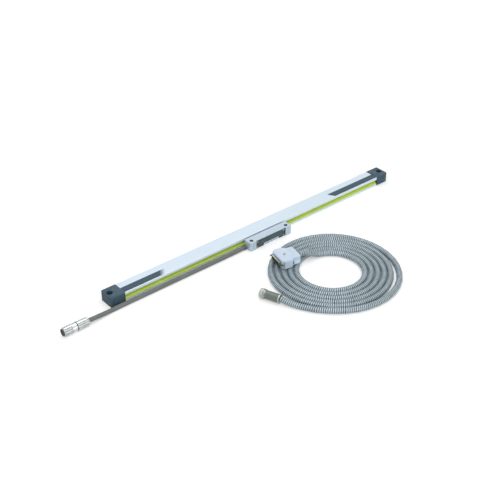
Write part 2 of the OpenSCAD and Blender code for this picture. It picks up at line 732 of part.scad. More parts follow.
module plug_sleeve() color([0.82, 0.84, 0.85]) on_plug()
    translate([nut_length + ring_t + slide_fit, 0, 0]) rotate([0, 90, 0]) difference() {
        union() {
            cylinder(d = plug_d - 0.3, h = plug_smooth);
            translate([0, 0, plug_smooth]) linear_extrude(sleeve_length - plug_smooth - 1.4) fluted(plug_d, 0.55, flutes);
            translate([0, 0, sleeve_length - 1.4]) cylinder(d1 = plug_d - 0.9, d2 = plug_d - 2.2, h = 1.4 - 3 * slide_fit);
        }
        translate([0, 0, -cut]) cylinder(d = plug_bore, h = sleeve_length + 2 * cut);
        translate([-plug_d / 2, 0, 4.5]) rotate([0, 90, 0]) cylinder(d = 1.6, h = 0.8);
    }

// ---- Armoured extension cable ----

module armour_coil() color([0.60, 0.64, 0.67]) difference() {
    translate(coil_outer) rotate_extrude($fn = 96) {
        square([coil_outer_r - armour_r, armour_d]);
        intersection() {
            translate([coil_outer_r - armour_r, armour_r]) circle(armour_r);
            square([coil_outer_r, armour_d]);
        }
    }
    translate([coil_inner[0], coil_inner[1], -cut]) cylinder(r = coil_inner_r, h = armour_d + 2 * cut, $fn = 96);
}

module armour_to_d_plug() color([0.60, 0.64, 0.67]) swept(smooth_line(armour_head, 3), armour_d, 12);
module armour_to_socket() color([0.60, 0.64, 0.67]) swept(smooth_line(armour_tail, 3), armour_d, 12);

// ---- Line socket ----

module on_socket() translate(socket_rear) rotate([0, 0, socket_turn]) children();

module socket_barrel() color([0.76, 0.80, 0.78]) on_socket() difference() {
    union() {
        translate([socket_end_ring, 0, 0]) rod_x(socket_barrel_d,
            socket_length - socket_end_ring - socket_ring_length - socket_groove);
        translate([socket_end_ring, 0, 0]) rod_x(socket_mouth_d - 0.6, socket_length - socket_end_ring - socket_mouth_depth + 5);
    }
    translate([socket_length - socket_mouth_depth, 0, 0]) rod_x(socket_mouth_d - 2, socket_mouth_depth + cut);
    translate([socket_end_ring - cut, 0, 0]) rod_x(armour_d - 3, 6);
}

module socket_end_ring() color([0.84, 0.86, 0.86]) on_socket() tube_x(socket_barrel_d + 0.8, armour_d - 3, socket_end_ring);

module socket_insert() color([0.12, 0.13, 0.14]) on_socket()
    translate([socket_length - socket_mouth_depth, 0, 0]) rod_x(socket_mouth_d - 2 - 2 * slide_fit, socket_insert_t - 1);

module socket_contacts() color([0.80, 0.68, 0.36]) on_socket()
    translate([socket_length - socket_mouth_depth + socket_insert_t - 1, 0, 0])
        for (i = [0 : 11]) rotate([i * 30, 0, 0]) translate([0, 4, 0]) rod_x(0.8, 2.4);

module socket_ring() color([0.84, 0.86, 0.86]) on_socket()
    translate([socket_length - socket_ring_length - socket_groove + slide_fit, 0, 0]) rotate([0, 90, 0]) difference() {
        union() {
            cylinder(d = socket_barrel_d - 1, h = socket_groove);
            translate([0, 0, socket_groove]) linear_extrude(1.6) circle(d = socket_ring_d - 0.6);
            translate([0, 0, socket_groove + 1.6]) cylinder(d = socket_barrel_d - 0.4, h = 0.8);
            translate([0, 0, socket_groove + 2.4]) linear_extrude(socket_ring_length - 3.4) fluted(socket_ring_d, 0.3, 24);
            translate([0, 0, socket_groove + socket_ring_length - 1]) cylinder(d1 = socket_ring_d, d2 = socket_ring_d - 1, h = 1);
        }
        translate([0, 0, -cut]) cylinder(d = socket_mouth_d - 0.6 + 2 * slide_fit, h = socket_ring_length + socket_groove + 2 * cut);
    }

// ---- D plug ----

module on_hood() translate(hood_place) rotate([0, 0, hood_turn]) children();

module hood_outline(inset) polygon([
    [inset, -hood_width / 2 + front_chamfer + inset], [front_chamfer, -hood_width / 2 + inset],
    [shoulder_x - inset / 2, -hood_width / 2 + inset],
    [shoulder_end - inset / 2, -hood_rear_width / 2 + inset],
    [hood_length - rear_chamfer - inset / 2, -hood_rear_width / 2 + inset],
    [hood_length - inset, -hood_rear_width / 2 + rear_chamfer + inset / 2],
    [hood_length - inset, hood_rear_width / 2 - rear_chamfer - inset / 2],
    [hood_length - rear_chamfer - inset / 2, hood_rear_width / 2 - inset],
    [shoulder_end - inset / 2, hood_rear_width / 2 - inset],
    [shoulder_x - inset / 2, hood_width / 2 - inset],
    [front_chamfer, hood_width / 2 - inset], [inset, hood_width / 2 - front_chamfer - inset]]);

// Half a hood: a shell with an open front, a cable saddle, jackscrew channels and a stepped back
module hood_half() difference() {
    union() {
        linear_extrude(hood_height / 2 - 1) hood_outline(0);
        linear_extrude(hood_height / 2) hood_outline(0.8);
    }
    translate([-cut, 0, -cut]) intersection() {
        linear_extrude(hood_height / 2 - hood_wall + cut) hood_outline(hood_wall);
        translate([0, -shell_width / 2, 0]) cube([hood_length - 6, shell_width, hood_height]);
    }
    translate([-cut, -shell_width / 2 - shell_clear, -cut])
        cube([6, shell_width + 2 * shell_clear, shell_height / 2 + cut + shell_clear]);
    // the slot that holds the flange, open at both sides
    translate([flange_back - seat_gap / 2, -hood_width / 2 - cut, -cut])
        cube([flange_t + seat_gap, hood_width + 2 * cut, flange_height / 2 + cut + seat_gap / 2]);
    translate([hood_length - 8, 0, 0]) rod_x(armour_d - 2, 8 + cut);
    for (side = [-1, 1]) translate([-cut, side * jack_pitch / 2, 0]) {
        rod_x(jack_d + 0.4, shoulder_end + 2 * cut);
        translate([shoulder_x - 7 + cut, 0, 0]) rod_x(jack_knob_d + 0.6, hood_length);
    }
    for (side = [-1, 1]) translate([hood_screw_x, side * hood_screw_y * 0, -cut])
        cylinder(d = 2.2, h = hood_height);
    // the waist behind the shoulders lies lower than the front
    translate([shoulder_end + 1.5, -hood_width / 2, hood_height / 2 - 0.6]) cube([hood_length, hood_width, cut]);
}

module d_hood_upper() color([0.84, 0.86, 0.88]) on_hood() translate([0, 0, split_gap / 2]) hood_half();
module d_hood_lower() color([0.84, 0.86, 0.88]) on_hood() mirror([0, 0, 1]) translate([0, 0, split_gap / 2]) hood_half();

// The D outline of the shell, wider at the top row
module d_outline(w, h) polygon([[-w / 2 + 1.4, -h / 2], [w / 2 - 1.4, -h / 2], [w / 2 - 0.3, -h / 2 + 1.2],
    [w / 2, h / 2 - 1.2], [w / 2 - 1.1, h / 2], [-w / 2 + 1.1, h / 2], [-w / 2, h / 2 - 1.2], [-w / 2 + 0.3, -h / 2 + 1.2]]);

module d_shell() color([0.86, 0.87, 0.84]) on_hood() rotate([90, 0, -90]) {
    translate([0, 0, -flange_back - flange_t]) linear_extrude(flange_t) difference() {
        translate([-flange_width / 2, -flange_height / 2]) round_rect(flange_width, flange_height, 1.5);
        d_outline(shell_width - 2 * shell_wall, shell_height - 2 * shell_wall);
        for (side = [-1, 1]) translate([side * jack_pitch / 2, 0]) circle(d = jack_d + 0.4);
    }
    translate([0, 0, -flange_back]) linear_extrude(shell_depth) difference() {
        d_outline(shell_width, shell_height);
        d_outline(shell_width - 2 * shell_wall, shell_height - 2 * shell_wall);
    }
}

module d_insert() color([0.10, 0.11, 0.12]) on_hood() rotate([90, 0, -90]) {
    translate([0, 0, -insert_depth]) linear_extrude(insert_depth - flange_back - flange_t)
        d_outline(shell_width - 2, shell_height - 0.6);
    translate([0, 0, -flange_back - flange_t]) linear_extrude(flange_t + 0.6)
        d_outline(shell_width - 2 * shell_wall - 4 * slide_fit, shell_height - 2 * shell_wall - 4 * slide_fit);
}

module d_contacts() color([0.82, 0.70, 0.38]) on_hood() rotate([90, 0, -90])
    translate([0, 0, -flange_back + 0.6]) {
        for (i = [0 : 7]) translate([(i - 3.5) * contact_pitch, contact_row]) cylinder(d = contact_d, h = shell_depth - 1.6);
        for (i = [0 : 6]) translate([(i - 3) * contact_pitch, -contact_row]) cylinder(d = contact_d, h = shell_depth - 1.6);
    }

module d_ferrule() color([0.62, 0.66, 0.68]) on_hood() translate([hood_length - 7, 0, 0]) {
    tube_x(armour_d - 2 - 2 * slide_fit, armour_d - 5, 7);
    translate([7 + slide_fit, 0, 0]) tube_x(armour_d + 2, armour_d - 5, ferrule_length);
}

module hood_screws() color([0.55, 0.57, 0.60]) on_hood() translate([hood_screw_x, 0, 0]) {
    translate([0, 0, -hood_height / 2 + 1]) cylinder(d = 2, h = hood_height - 1);
    translate([0, 0, hood_height / 2 + seat_gap / 4]) difference() {
        cylinder(d = 4.2, h = 0.9);
        translate([-0.35, -2.2, 0.4]) cube([0.7, 4.4, 1]);
    }
}

module jackscrew(side) color([0.80, 0.80, 0.80]) on_hood() translate([0, side * jack_pitch / 2, 0]) {
    translate([flange_back - 6, 0, 0]) rod_x(jack_d, shoulder_x + 2 - flange_back);
    translate([shoulder_x - 4, 0, 0]) rotate([0, 90, 0]) difference() {
        linear_extrude(jack_knob_length) fluted(jack_knob_d, 0.25, 16);
        translate([-0.4, -jack_knob_d, jack_knob_length - 1]) cube([0.8, 2 * jack_knob_d, cut + 1]);
    }
}
module jackscrew_left() jackscrew(1);
module jackscrew_right() jackscrew(-1);

// ---- Output ----

scale_housing();
end_cap_left();
end_cap_right();
end_gasket_left();
end_gasket_right();
end_cap_screws();
glass_scale();
glass_bond_strip();
upper_lip_seal();
lower_lip_seal();
air_port_plugs();
label_strip_left();
label_strip_right();
head_housing();
head_cover();
cover_gasket();
cover_screws();
drive_blade();
blade_screws();
coupling_wire();
scanning_carriage();
roller_axles();
lamp_lens();
index_grating();
photocell_board();
head_circuit_board();
cable_gland();
head_lead();
face_roller_left();
face_roller_mid();
face_roller_right();
edge_roller_left();
edge_roller_right();
plug_back_nut();
plug_seal_ring();
plug_core();
plug_insert();
plug_sleeve();
armour_coil();
armour_to_d_plug();
armour_to_socket();
socket_barrel();
socket_end_ring();
socket_insert();
socket_contacts();
socket_ring();
d_hood_upper();
d_hood_lower();
d_shell();
d_insert();
d_contacts();
d_ferrule();
hood_screws();
jackscrew_left();
jackscrew_right();
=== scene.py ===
"""Looks of a sealed linear glass scale with its reading head and armoured extension cable.

Lengths are in metres. X runs along the scale, -Y is the reading head's side and Z is up.
"""

import logging
import math
from dataclasses import dataclass
from enum import Enum
from typing import Callable, Optional, Sequence

import bmesh
import bpy
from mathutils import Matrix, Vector

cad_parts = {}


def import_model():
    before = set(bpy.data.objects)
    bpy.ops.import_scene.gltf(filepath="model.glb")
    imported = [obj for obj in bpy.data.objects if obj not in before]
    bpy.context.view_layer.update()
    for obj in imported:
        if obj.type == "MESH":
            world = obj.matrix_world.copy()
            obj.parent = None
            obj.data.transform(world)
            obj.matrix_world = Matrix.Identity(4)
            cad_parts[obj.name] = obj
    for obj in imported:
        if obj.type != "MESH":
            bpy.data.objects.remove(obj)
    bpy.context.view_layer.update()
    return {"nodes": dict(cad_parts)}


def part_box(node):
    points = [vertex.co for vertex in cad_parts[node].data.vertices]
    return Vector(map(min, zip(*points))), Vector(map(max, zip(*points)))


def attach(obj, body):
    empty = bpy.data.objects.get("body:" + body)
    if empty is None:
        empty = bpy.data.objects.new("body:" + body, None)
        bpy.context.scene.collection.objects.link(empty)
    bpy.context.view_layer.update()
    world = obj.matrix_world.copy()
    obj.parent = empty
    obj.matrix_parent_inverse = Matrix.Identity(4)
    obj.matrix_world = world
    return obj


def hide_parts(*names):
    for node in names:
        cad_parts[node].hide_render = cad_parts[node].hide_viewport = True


LOG = logging.getLogger("glass_scale")

BUMP_DEPTH = 0.0002
GLOSS_SPREAD = 0.08
LEAST_ROUGHNESS = 0.05
SAME_PLACE = 0.00002
FLAT_ANGLE = 1.0
ROUNDED_ANGLE = 38.0
SMOOTH_ANGLE = 35.0
ROUTE_STEPS = 12
TURN_STEPS = 36

Colour = tuple[float, float, float]
Point = tuple[float, float, float]
Tree = bpy.types.ShaderNodeTree
Node = bpy.types.Node
Socket = bpy.types.NodeSocket


def mm(*values: float) -> Vector:
    """Turns millimetres into a vector in metres.

    Args:
        values: Three lengths in millimetres.

    Returns:
        The same point in metres.
    """
    return Vector(value / 1000.0 for value in values)


def link_in(name: str, data: bpy.types.ID) -> bpy.types.Object:
    """Makes an object and links it into the scene.

    Args:
        name: Its name.
        data: Its mesh, camera or light.

    Returns:
        The object.
    """
    item = bpy.data.objects.new(name, data)
    bpy.context.scene.collection.objects.link(item)
    return item


def new_material(name: str) -> tuple[bpy.types.Material, Tree, Node]:
    """Makes a material that has one Principled shader.

    Args:
        name: Its name.

    Returns:
        The material, its node tree and the shader.
    """
    material = bpy.data.materials.new(name)
    material.use_nodes = True
    return material, material.node_tree, material.node_tree.nodes["Principled BSDF"]


def add_node(tree: Tree, kind: str, values: Optional[dict[str, object]] = None, **settings: object) -> Node:
    """Adds a shader node.

    Args:
        tree: The node tree.
        kind: The node's type.
        values: Values of its inputs, by name.
        settings: The node's own settings.

    Returns:
        The node.
    """
    node = tree.nodes.new(kind)
    for name, value in settings.items():
        setattr(node, name, value)
    for name, value in (values or {}).items():
        node.inputs[name].default_value = value
    return node


def product(tree: Tree, first: Socket, second: Socket, clamp: bool = False) -> Socket:
    """Multiplies two values in a shader.

    Args:
        tree: The node tree.
        first: The one value.
        second: The other value.
        clamp: Whether the result is kept between nothing and one.

    Returns:
        Their product.
    """
    node = add_node(tree, "ShaderNodeMath", operation="MULTIPLY", use_clamp=clamp)
    tree.links.new(first, node.inputs[0])
    tree.links.new(second, node.inputs[1])
    return node.outputs["Value"]


# ---------------------------------------------------------------------------
# Shader effects that several finishes share
# ---------------------------------------------------------------------------


class Effect(Enum):
    """The shared effects, each one a shader node group."""

    DRAWN_LINES = "drawn_lines"
    FINE_PEEL = "fine_peel"
    DUSTING = "dusting"
    WORN_EDGES = "worn_and_highlighted_edges"
    GROOVE_GRIME = "painted_groove_shade"


class EffectLibrary:
    """Builds each shared effect once and hands out its node group."""

    def __init__(self) -> None:
        """Starts with no groups built."""
        self._groups: dict[Effect, Tree] = {}
        self._makers: dict[Effect, Callable[[], Tree]] = {
            Effect.DRAWN_LINES: self._drawn_lines,
            Effect.FINE_PEEL: self._fine_peel,
            Effect.DUSTING: self._dusting,
            Effect.WORN_EDGES: self._worn_and_highlighted_edges,
            Effect.GROOVE_GRIME: self._painted_groove_shade,
        }

    def group(self, effect: Effect) -> Tree:
        """Returns the node group of an effect, and builds it when first asked for.

        Args:
            effect: Which effect is wanted.

        Returns:
            The shared node group.
        """
        if effect not in self._groups:
            self._groups[effect] = self._makers[effect]()
        return self._groups[effect]

    @staticmethod
    def _empty(effect: Effect, outputs: Sequence[str], **inputs: float) -> tuple[Tree, Node, Node]:
        """Makes a group with its sockets and nothing between them.

        Args:
            effect: The effect, which names the group.
            outputs: Names of the outputs, all of them floats.
            inputs: Default of each input beside the coordinates.

        Returns:
            The empty group, its input node and its output node.
        """
        tree = bpy.data.node_groups.new(effect.value, "ShaderNodeTree")
        tree.interface.new_socket("Vector", in_out="INPUT", socket_type="NodeSocketVector")
        for name, default in inputs.items():
            socket = tree.interface.new_socket(name, in_out="INPUT", socket_type="NodeSocketFloat")
            socket.default_value = default
        for name in outputs:
            tree.interface.new_socket(name, in_out="OUTPUT", socket_type="NodeSocketFloat")
        source = add_node(tree, "NodeGroupInput", location=(-800, 0))
        sink = add_node(tree, "NodeGroupOutput", location=(500, 0))
        return tree, source, sink

    def _drawn_lines(self) -> Tree:
        """Fine lines along X, as drawing or brushing leaves them on metal.

        Returns:
            The node group.
        """
        outputs = ["Value", "Height"]
        tree, source, sink = self._empty(Effect.DRAWN_LINES, outputs, Fineness=900.0, Stretch=0.02)
        stretch = add_node(tree, "ShaderNodeCombineXYZ", {"Y": 1.0, "Z": 1.0})
        tree.links.new(source.outputs["Stretch"], stretch.inputs["X"])
        scaled = add_node(tree, "ShaderNodeVectorMath", operation="MULTIPLY")
        tree.links.new(source.outputs["Vector"], scaled.inputs[0])
        tree.links.new(stretch.outputs["Vector"], scaled.inputs[1])
        noise = add_node(tree, "ShaderNodeTexNoise", {"Detail": 4.0, "Roughness": 0.7})
        tree.links.new(scaled.outputs["Vector"], noise.inputs["Vector"])
        tree.links.new(source.outputs["Fineness"], noise.inputs["Scale"])
        tree.links.new(noise.outputs["Fac"], sink.inputs["Value"])
        tree.links.new(noise.outputs["Fac"], sink.inputs["Height"])
        return tree

    def _fine_peel(self) -> Tree:
        """The pebbled skin of a coating or a casting.

        Returns:
            The node group.
        """
        tree, source, sink = self._empty(Effect.FINE_PEEL, ["Value", "Height"], Scale=1200.0)
        cells = add_node(tree, "ShaderNodeTexVoronoi", feature="SMOOTH_F1")
        noise = add_node(tree, "ShaderNodeTexNoise", {"Detail": 3.0})
        for texture in (cells, noise):
            tree.links.new(source.outputs["Vector"], texture.inputs["Vector"])
            tree.links.new(source.outputs["Scale"], texture.inputs["Scale"])
        both = add_node(tree, "ShaderNodeMath", operation="MULTIPLY_ADD")
        both.inputs[1].default_value = 0.5
        tree.links.new(cells.outputs["Distance"], both.inputs[0])
        tree.links.new(noise.outputs["Fac"], both.inputs[2])
        tree.links.new(both.outputs["Value"], sink.inputs["Height"])
        tree.links.new(noise.outputs["Fac"], sink.inputs["Value"])
        return tree

    def _dusting(self) -> Tree:
        """Broad soft patches where handling and dust change a surface a little.

        Returns:
            The node group.
        """
        tree, source, sink = self._empty(Effect.DUSTING, ["Mask"], Scale=30.0, Amount=0.3)
        noise = add_node(tree, "ShaderNodeTexNoise", {"Detail": 5.0, "Roughness": 0.6})
        tree.links.new(source.outputs["Vector"], noise.inputs["Vector"])
        tree.links.new(source.outputs["Scale"], noise.inputs["Scale"])
        spread = add_node(tree, "ShaderNodeMapRange", {"From Min": 0.35, "From Max": 0.7})
        tree.links.new(noise.outputs["Fac"], spread.inputs["Value"])
        tree.links.new(source.outputs["Amount"], spread.inputs["To Max"])
        tree.links.new(spread.outputs["Result"], sink.inputs["Mask"])
        return tree

    def _worn_and_highlighted_edges(self) -> Tree:
        """Lighter sharp outer edges, broken up unevenly: edge wear, and on the D shell a painted highlight
        of its lit rim.

        Returns:
            The node group.
        """
        tree, source, sink = self._empty(Effect.WORN_EDGES, ["Mask"], Amount=0.5)
        shape = add_node(tree, "ShaderNodeNewGeometry")
        edge = add_node(tree, "ShaderNodeMapRange", {"From Min": 0.52, "From Max": 0.62})
        tree.links.new(shape.outputs["Pointiness"], edge.inputs["Value"])
        noise = add_node(tree, "ShaderNodeTexNoise", {"Scale": 250.0})
        tree.links.new(source.outputs["Vector"], noise.inputs["Vector"])
        broken = product(tree, edge.outputs["Result"], noise.outputs["Fac"])
        tree.links.new(product(tree, broken, source.outputs["Amount"], clamp=True), sink.inputs["Mask"])
        return tree

    def _painted_groove_shade(self) -> Tree:
        """Painted shade: darkens the colour where a groove or corner is narrow.

        Returns:
            The node group.
        """
        tree, source, sink = self._empty(Effect.GROOVE_GRIME, ["Mask"], Reach=0.001, Amount=0.5)
        openness = add_node(tree, "ShaderNodeAmbientOcclusion", only_local=True, samples=8)
        tree.links.new(source.outputs["Reach"], openness.inputs["Distance"])
        narrow = add_node(tree, "ShaderNodeMapRange", {"From Min": 0.97, "From Max": 0.55})
        tree.links.new(openness.outputs["AO"], narrow.inputs["Value"])
        noise = add_node(tree, "ShaderNodeTexNoise", {"Scale": 300.0})
        tree.links.new(source.outputs["Vector"], noise.inputs["Vector"])
        uneven = add_node(tree, "ShaderNodeMapRange", {"To Min": 0.7, "To Max": 1.3})
        tree.links.new(noise.outputs["Fac"], uneven.inputs["Value"])
        held = product(tree, narrow.outputs["Result"], uneven.outputs["Result"])
        tree.links.new(product(tree, held, source.outputs["Amount"], clamp=True), sink.inputs["Mask"])
        return tree


EFFECTS = EffectLibrary()
READY: dict[str, bpy.types.Material] = {}


# ---------------------------------------------------------------------------
# Finishes
# ---------------------------------------------------------------------------


@dataclass(frozen=True)
class Finish:
    """A surface finish: one Principled shader, fed by shared effects.

    Attributes:
        name: Name of the material.
        colour: Base colour, linear.
        roughness: Mean roughness.
        metallic: Metallic share.
        specular: Specular level, one half for a plain surface.
        patch_colour: Colour that the dusting shifts towards.
        patch_amount: How far it shifts.
        patch_scale: Scale of those patches.
        lines: Strength of drawn lines, nothing for none.
        line_fineness: Fineness of those lines.
        peel: Strength of the fine peel, nothing for none.
        peel_scale: Scale of the peel.
        edge_wear_and_highlight: Amount of lighter colour on sharp edges: edge wear, and on the D shell a
            painted highlight.
        edge_wear_and_highlight_colour: Colour of those edges.
        painted_shade: Amount of painted shade in narrow grooves and corners.
        painted_shade_reach: Width of the grooves that take it.
        painted_shade_colour: Colour of the painted shade.
    """

    name: str
    colour: Colour
    roughness: float = 0.4
    metallic: float = 0.0
    specular: float = 0.5
    patch_colour: Colour = (0.5, 0.5, 0.5)
    patch_amount: float = 0.0
    patch_scale: float = 30.0
    lines: float = 0.0
    line_fineness: float = 900.0
    peel: float = 0.0
    peel_scale: float = 1200.0
    edge_wear_and_highlight: float = 0.0
    edge_wear_and_highlight_colour: Colour = (0.8, 0.82, 0.84)
    painted_shade: float = 0.0
    painted_shade_reach: float = 0.001
    painted_shade_colour: Colour = (0.05, 0.055, 0.055)

    def material(self) -> bpy.types.Material:
        """Returns this finish's material, and builds it when first asked for.

        Returns:
            The material.
        """
        if self.name not in READY:
            READY[self.name] = self._build()
        return READY[self.name]

    def _build(self) -> bpy.types.Material:
        """Builds the material from the finish's values.

        Returns:
            The new material.
        """
        material, tree, shader = new_material(f"{self.name}_finish")
        shader.inputs["Metallic"].default_value = self.metallic
        shader.inputs["Roughness"].default_value = self.roughness
        shader.inputs["Base Color"].default_value = (*self.colour, 1.0)
        shader.inputs["Specular IOR Level"].default_value = self.specular
        where = add_node(tree, "ShaderNodeTexCoord").outputs["Object"]
        colour = self._coloured(tree, where)
        if colour:
            tree.links.new(colour, shader.inputs["Base Color"])
        self._textured(tree, where, shader)
        return material

    def _place(self, tree: Tree, effect: Effect, where: Socket, **values: float) -> Node:
        """Places a shared effect in a material.

        Args:
            tree: The material's node tree.
            effect: Which effect.
            where: The coordinates that it reads.
            values: Its other inputs, by name.

        Returns:
            The group node.
        """
        node = add_node(tree, "ShaderNodeGroup", node_tree=EFFECTS.group(effect))
        tree.links.new(where, node.inputs["Vector"])
        for name, value in values.items():
            node.inputs[name].default_value = value
        return node

    def _mixed(self, tree: Tree, mask: Socket, below: Optional[Socket], over: Colour) -> Socket:
        """Mixes a colour over another by a mask.

        Args:
            tree: The material's node tree.
            mask: The mask.
            below: The colour underneath, or nothing for the base colour.
            over: The colour on top.

        Returns:
            The mixed colour.
        """
        mix = add_node(tree, "ShaderNodeMix", data_type="RGBA")
        tree.links.new(mask, mix.inputs["Factor"])
        if below:
            tree.links.new(below, mix.inputs["A"])
        else:
            mix.inputs["A"].default_value = (*self.colour, 1.0)
        mix.inputs["B"].default_value = (*over, 1.0)
        return mix.outputs["Result"]

    def _coloured(self, tree: Tree, where: Socket) -> Optional[Socket]:
        """Varies the colour with patches, lighter edges and painted shade in grooves.

        Args:
            tree: The material's node tree.
            where: The coordinates.

        Returns:
            The colour, or nothing where it doesn't vary.
        """
        colour = None
        if self.patch_amount:
            patches = self._place(tree, Effect.DUSTING, where, Scale=self.patch_scale,
                                  Amount=self.patch_amount)
            colour = self._mixed(tree, patches.outputs["Mask"], colour, self.patch_colour)
        # Lighter sharp edges: edge wear, and on the D shell a painted highlight.
        if self.edge_wear_and_highlight:
            edges = self._place(tree, Effect.WORN_EDGES, where, Amount=self.edge_wear_and_highlight)
            colour = self._mixed(tree, edges.outputs["Mask"], colour, self.edge_wear_and_highlight_colour)
        # Painted shade where grooves and corners are narrow.
        if self.painted_shade:
            shaded_grooves = self._place(tree, Effect.GROOVE_GRIME, where, Reach=self.painted_shade_reach,
                                  Amount=self.painted_shade)
            colour = self._mixed(tree, shaded_grooves.outputs["Mask"], colour, self.painted_shade_colour)
        return colour

    def _textured(self, tree: Tree, where: Socket, shader: Node) -> None:
        """Gives the shader its fine relief and uneven gloss.

        Args:
            tree: The material's node tree.
            where: The coordinates.
            shader: The Principled shader.
        """
        reliefs: list[tuple[Node, float]] = []
        if self.lines:
            lines = self._place(tree, Effect.DRAWN_LINES, where, Fineness=self.line_fineness)
            reliefs.append((lines, self.lines))
        if self.peel:
            peel = self._place(tree, Effect.FINE_PEEL, where, Scale=self.peel_scale)
            reliefs.append((peel, self.peel))
        normal = None
        for effect, strength in reliefs:
            bump = add_node(tree, "ShaderNodeBump", {"Strength": strength, "Distance": BUMP_DEPTH})
            tree.links.new(effect.outputs["Height"], bump.inputs["Height"])
            if normal:
                tree.links.new(normal, bump.inputs["Normal"])
            normal = bump.outputs["Normal"]
        if normal:
            tree.links.new(normal, shader.inputs["Normal"])
            least = max(LEAST_ROUGHNESS, self.roughness - GLOSS_SPREAD)
            most = min(1.0, self.roughness + GLOSS_SPREAD)
            gloss = add_node(tree, "ShaderNodeMapRange", {"To Min": least, "To Max": most})
            tree.links.new(reliefs[0][0].outputs["Value"], gloss.inputs["Value"])
            tree.links.new(gloss.outputs["Result"], shader.inputs["Roughness"])


@dataclass(frozen=True)
class GlassFinish(Finish):
    """Clear glass with a faint green body."""

    def _build(self) -> bpy.types.Material:
        """Builds a glass material.

        Returns:
            The new material.
        """
        material, tree, shader = new_material(f"{self.name}_finish")
        shader.inputs["Base Color"].default_value = (*self.colour, 1.0)
        shader.inputs["Transmission Weight"].default_value = 0.9
        shader.inputs["IOR"].default_value = 1.5
        where = add_node(tree, "ShaderNodeTexCoord").outputs["Object"]
        peel = self._place(tree, Effect.FINE_PEEL, where, Scale=60.0)
        gloss = add_node(tree, "ShaderNodeMapRange", {"To Min": 0.02, "To Max": 0.08})
        tree.links.new(peel.outputs["Value"], gloss.inputs["Value"])
        tree.links.new(gloss.outputs["Result"], shader.inputs["Roughness"])
        return material


@dataclass(frozen=True)
class ArmourFinish(Finish):
    """Galvanised strip wound into a hose: dull crests, with painted shade in the helical grooves.

    Attributes:
        groove_shade_colour: Colour of the painted shade in the grooves.
        groove_width: Share of the pitch that a groove takes.
    """

    groove_shade_colour: Colour = (0.10, 0.12, 0.13)
    groove_width: float = 0.3

    def _coloured(self, tree: Tree, where: Socket) -> Optional[Socket]:
        """Paints shade into the grooves, which follow the helix in the hose's UV map.

        Args:
            tree: The material's node tree.
            where: The coordinates of the patches.

        Returns:
            The colour.
        """
        patches = self._place(tree, Effect.DUSTING, where, Scale=self.patch_scale,
                              Amount=self.patch_amount)
        colour = self._mixed(tree, patches.outputs["Mask"], None, self.patch_colour)
        helix = add_node(tree, "ShaderNodeUVMap", uv_map="helix")
        parts = add_node(tree, "ShaderNodeSeparateXYZ")
        tree.links.new(helix.outputs["UV"], parts.inputs["Vector"])
        phase = add_node(tree, "ShaderNodeMath", operation="PINGPONG")
        phase.inputs[1].default_value = 0.5
        tree.links.new(parts.outputs["X"], phase.inputs[0])
        limits = {"From Min": self.groove_width / 2, "From Max": self.groove_width / 5}
        groove = add_node(tree, "ShaderNodeMapRange", limits)
        tree.links.new(phase.outputs["Value"], groove.inputs["Value"])
        # Painted shade in the helical grooves.
        return self._mixed(tree, groove.outputs["Result"], colour, self.groove_shade_colour)


@dataclass(frozen=True)
class FadingFinish(Finish):
    """A print that thins out into the metal below it.

    Attributes:
        end_colour: Colour where the print has gone.
    """

    end_colour: Colour = (0.7, 0.8, 0.9)

    def _coloured(self, tree: Tree, where: Socket) -> Optional[Socket]:
        """Fades the colour along U of the piece's own map.

        Args:
            tree: The material's node tree.
            where: The object's coordinates, which the fading doesn't read.

        Returns:
            The colour.
        """
        run = add_node(tree, "ShaderNodeUVMap", uv_map="fade")
        parts = add_node(tree, "ShaderNodeSeparateXYZ")
        tree.links.new(run.outputs["UV"], parts.inputs["Vector"])
        return self._mixed(tree, parts.outputs["X"], None, self.end_colour)


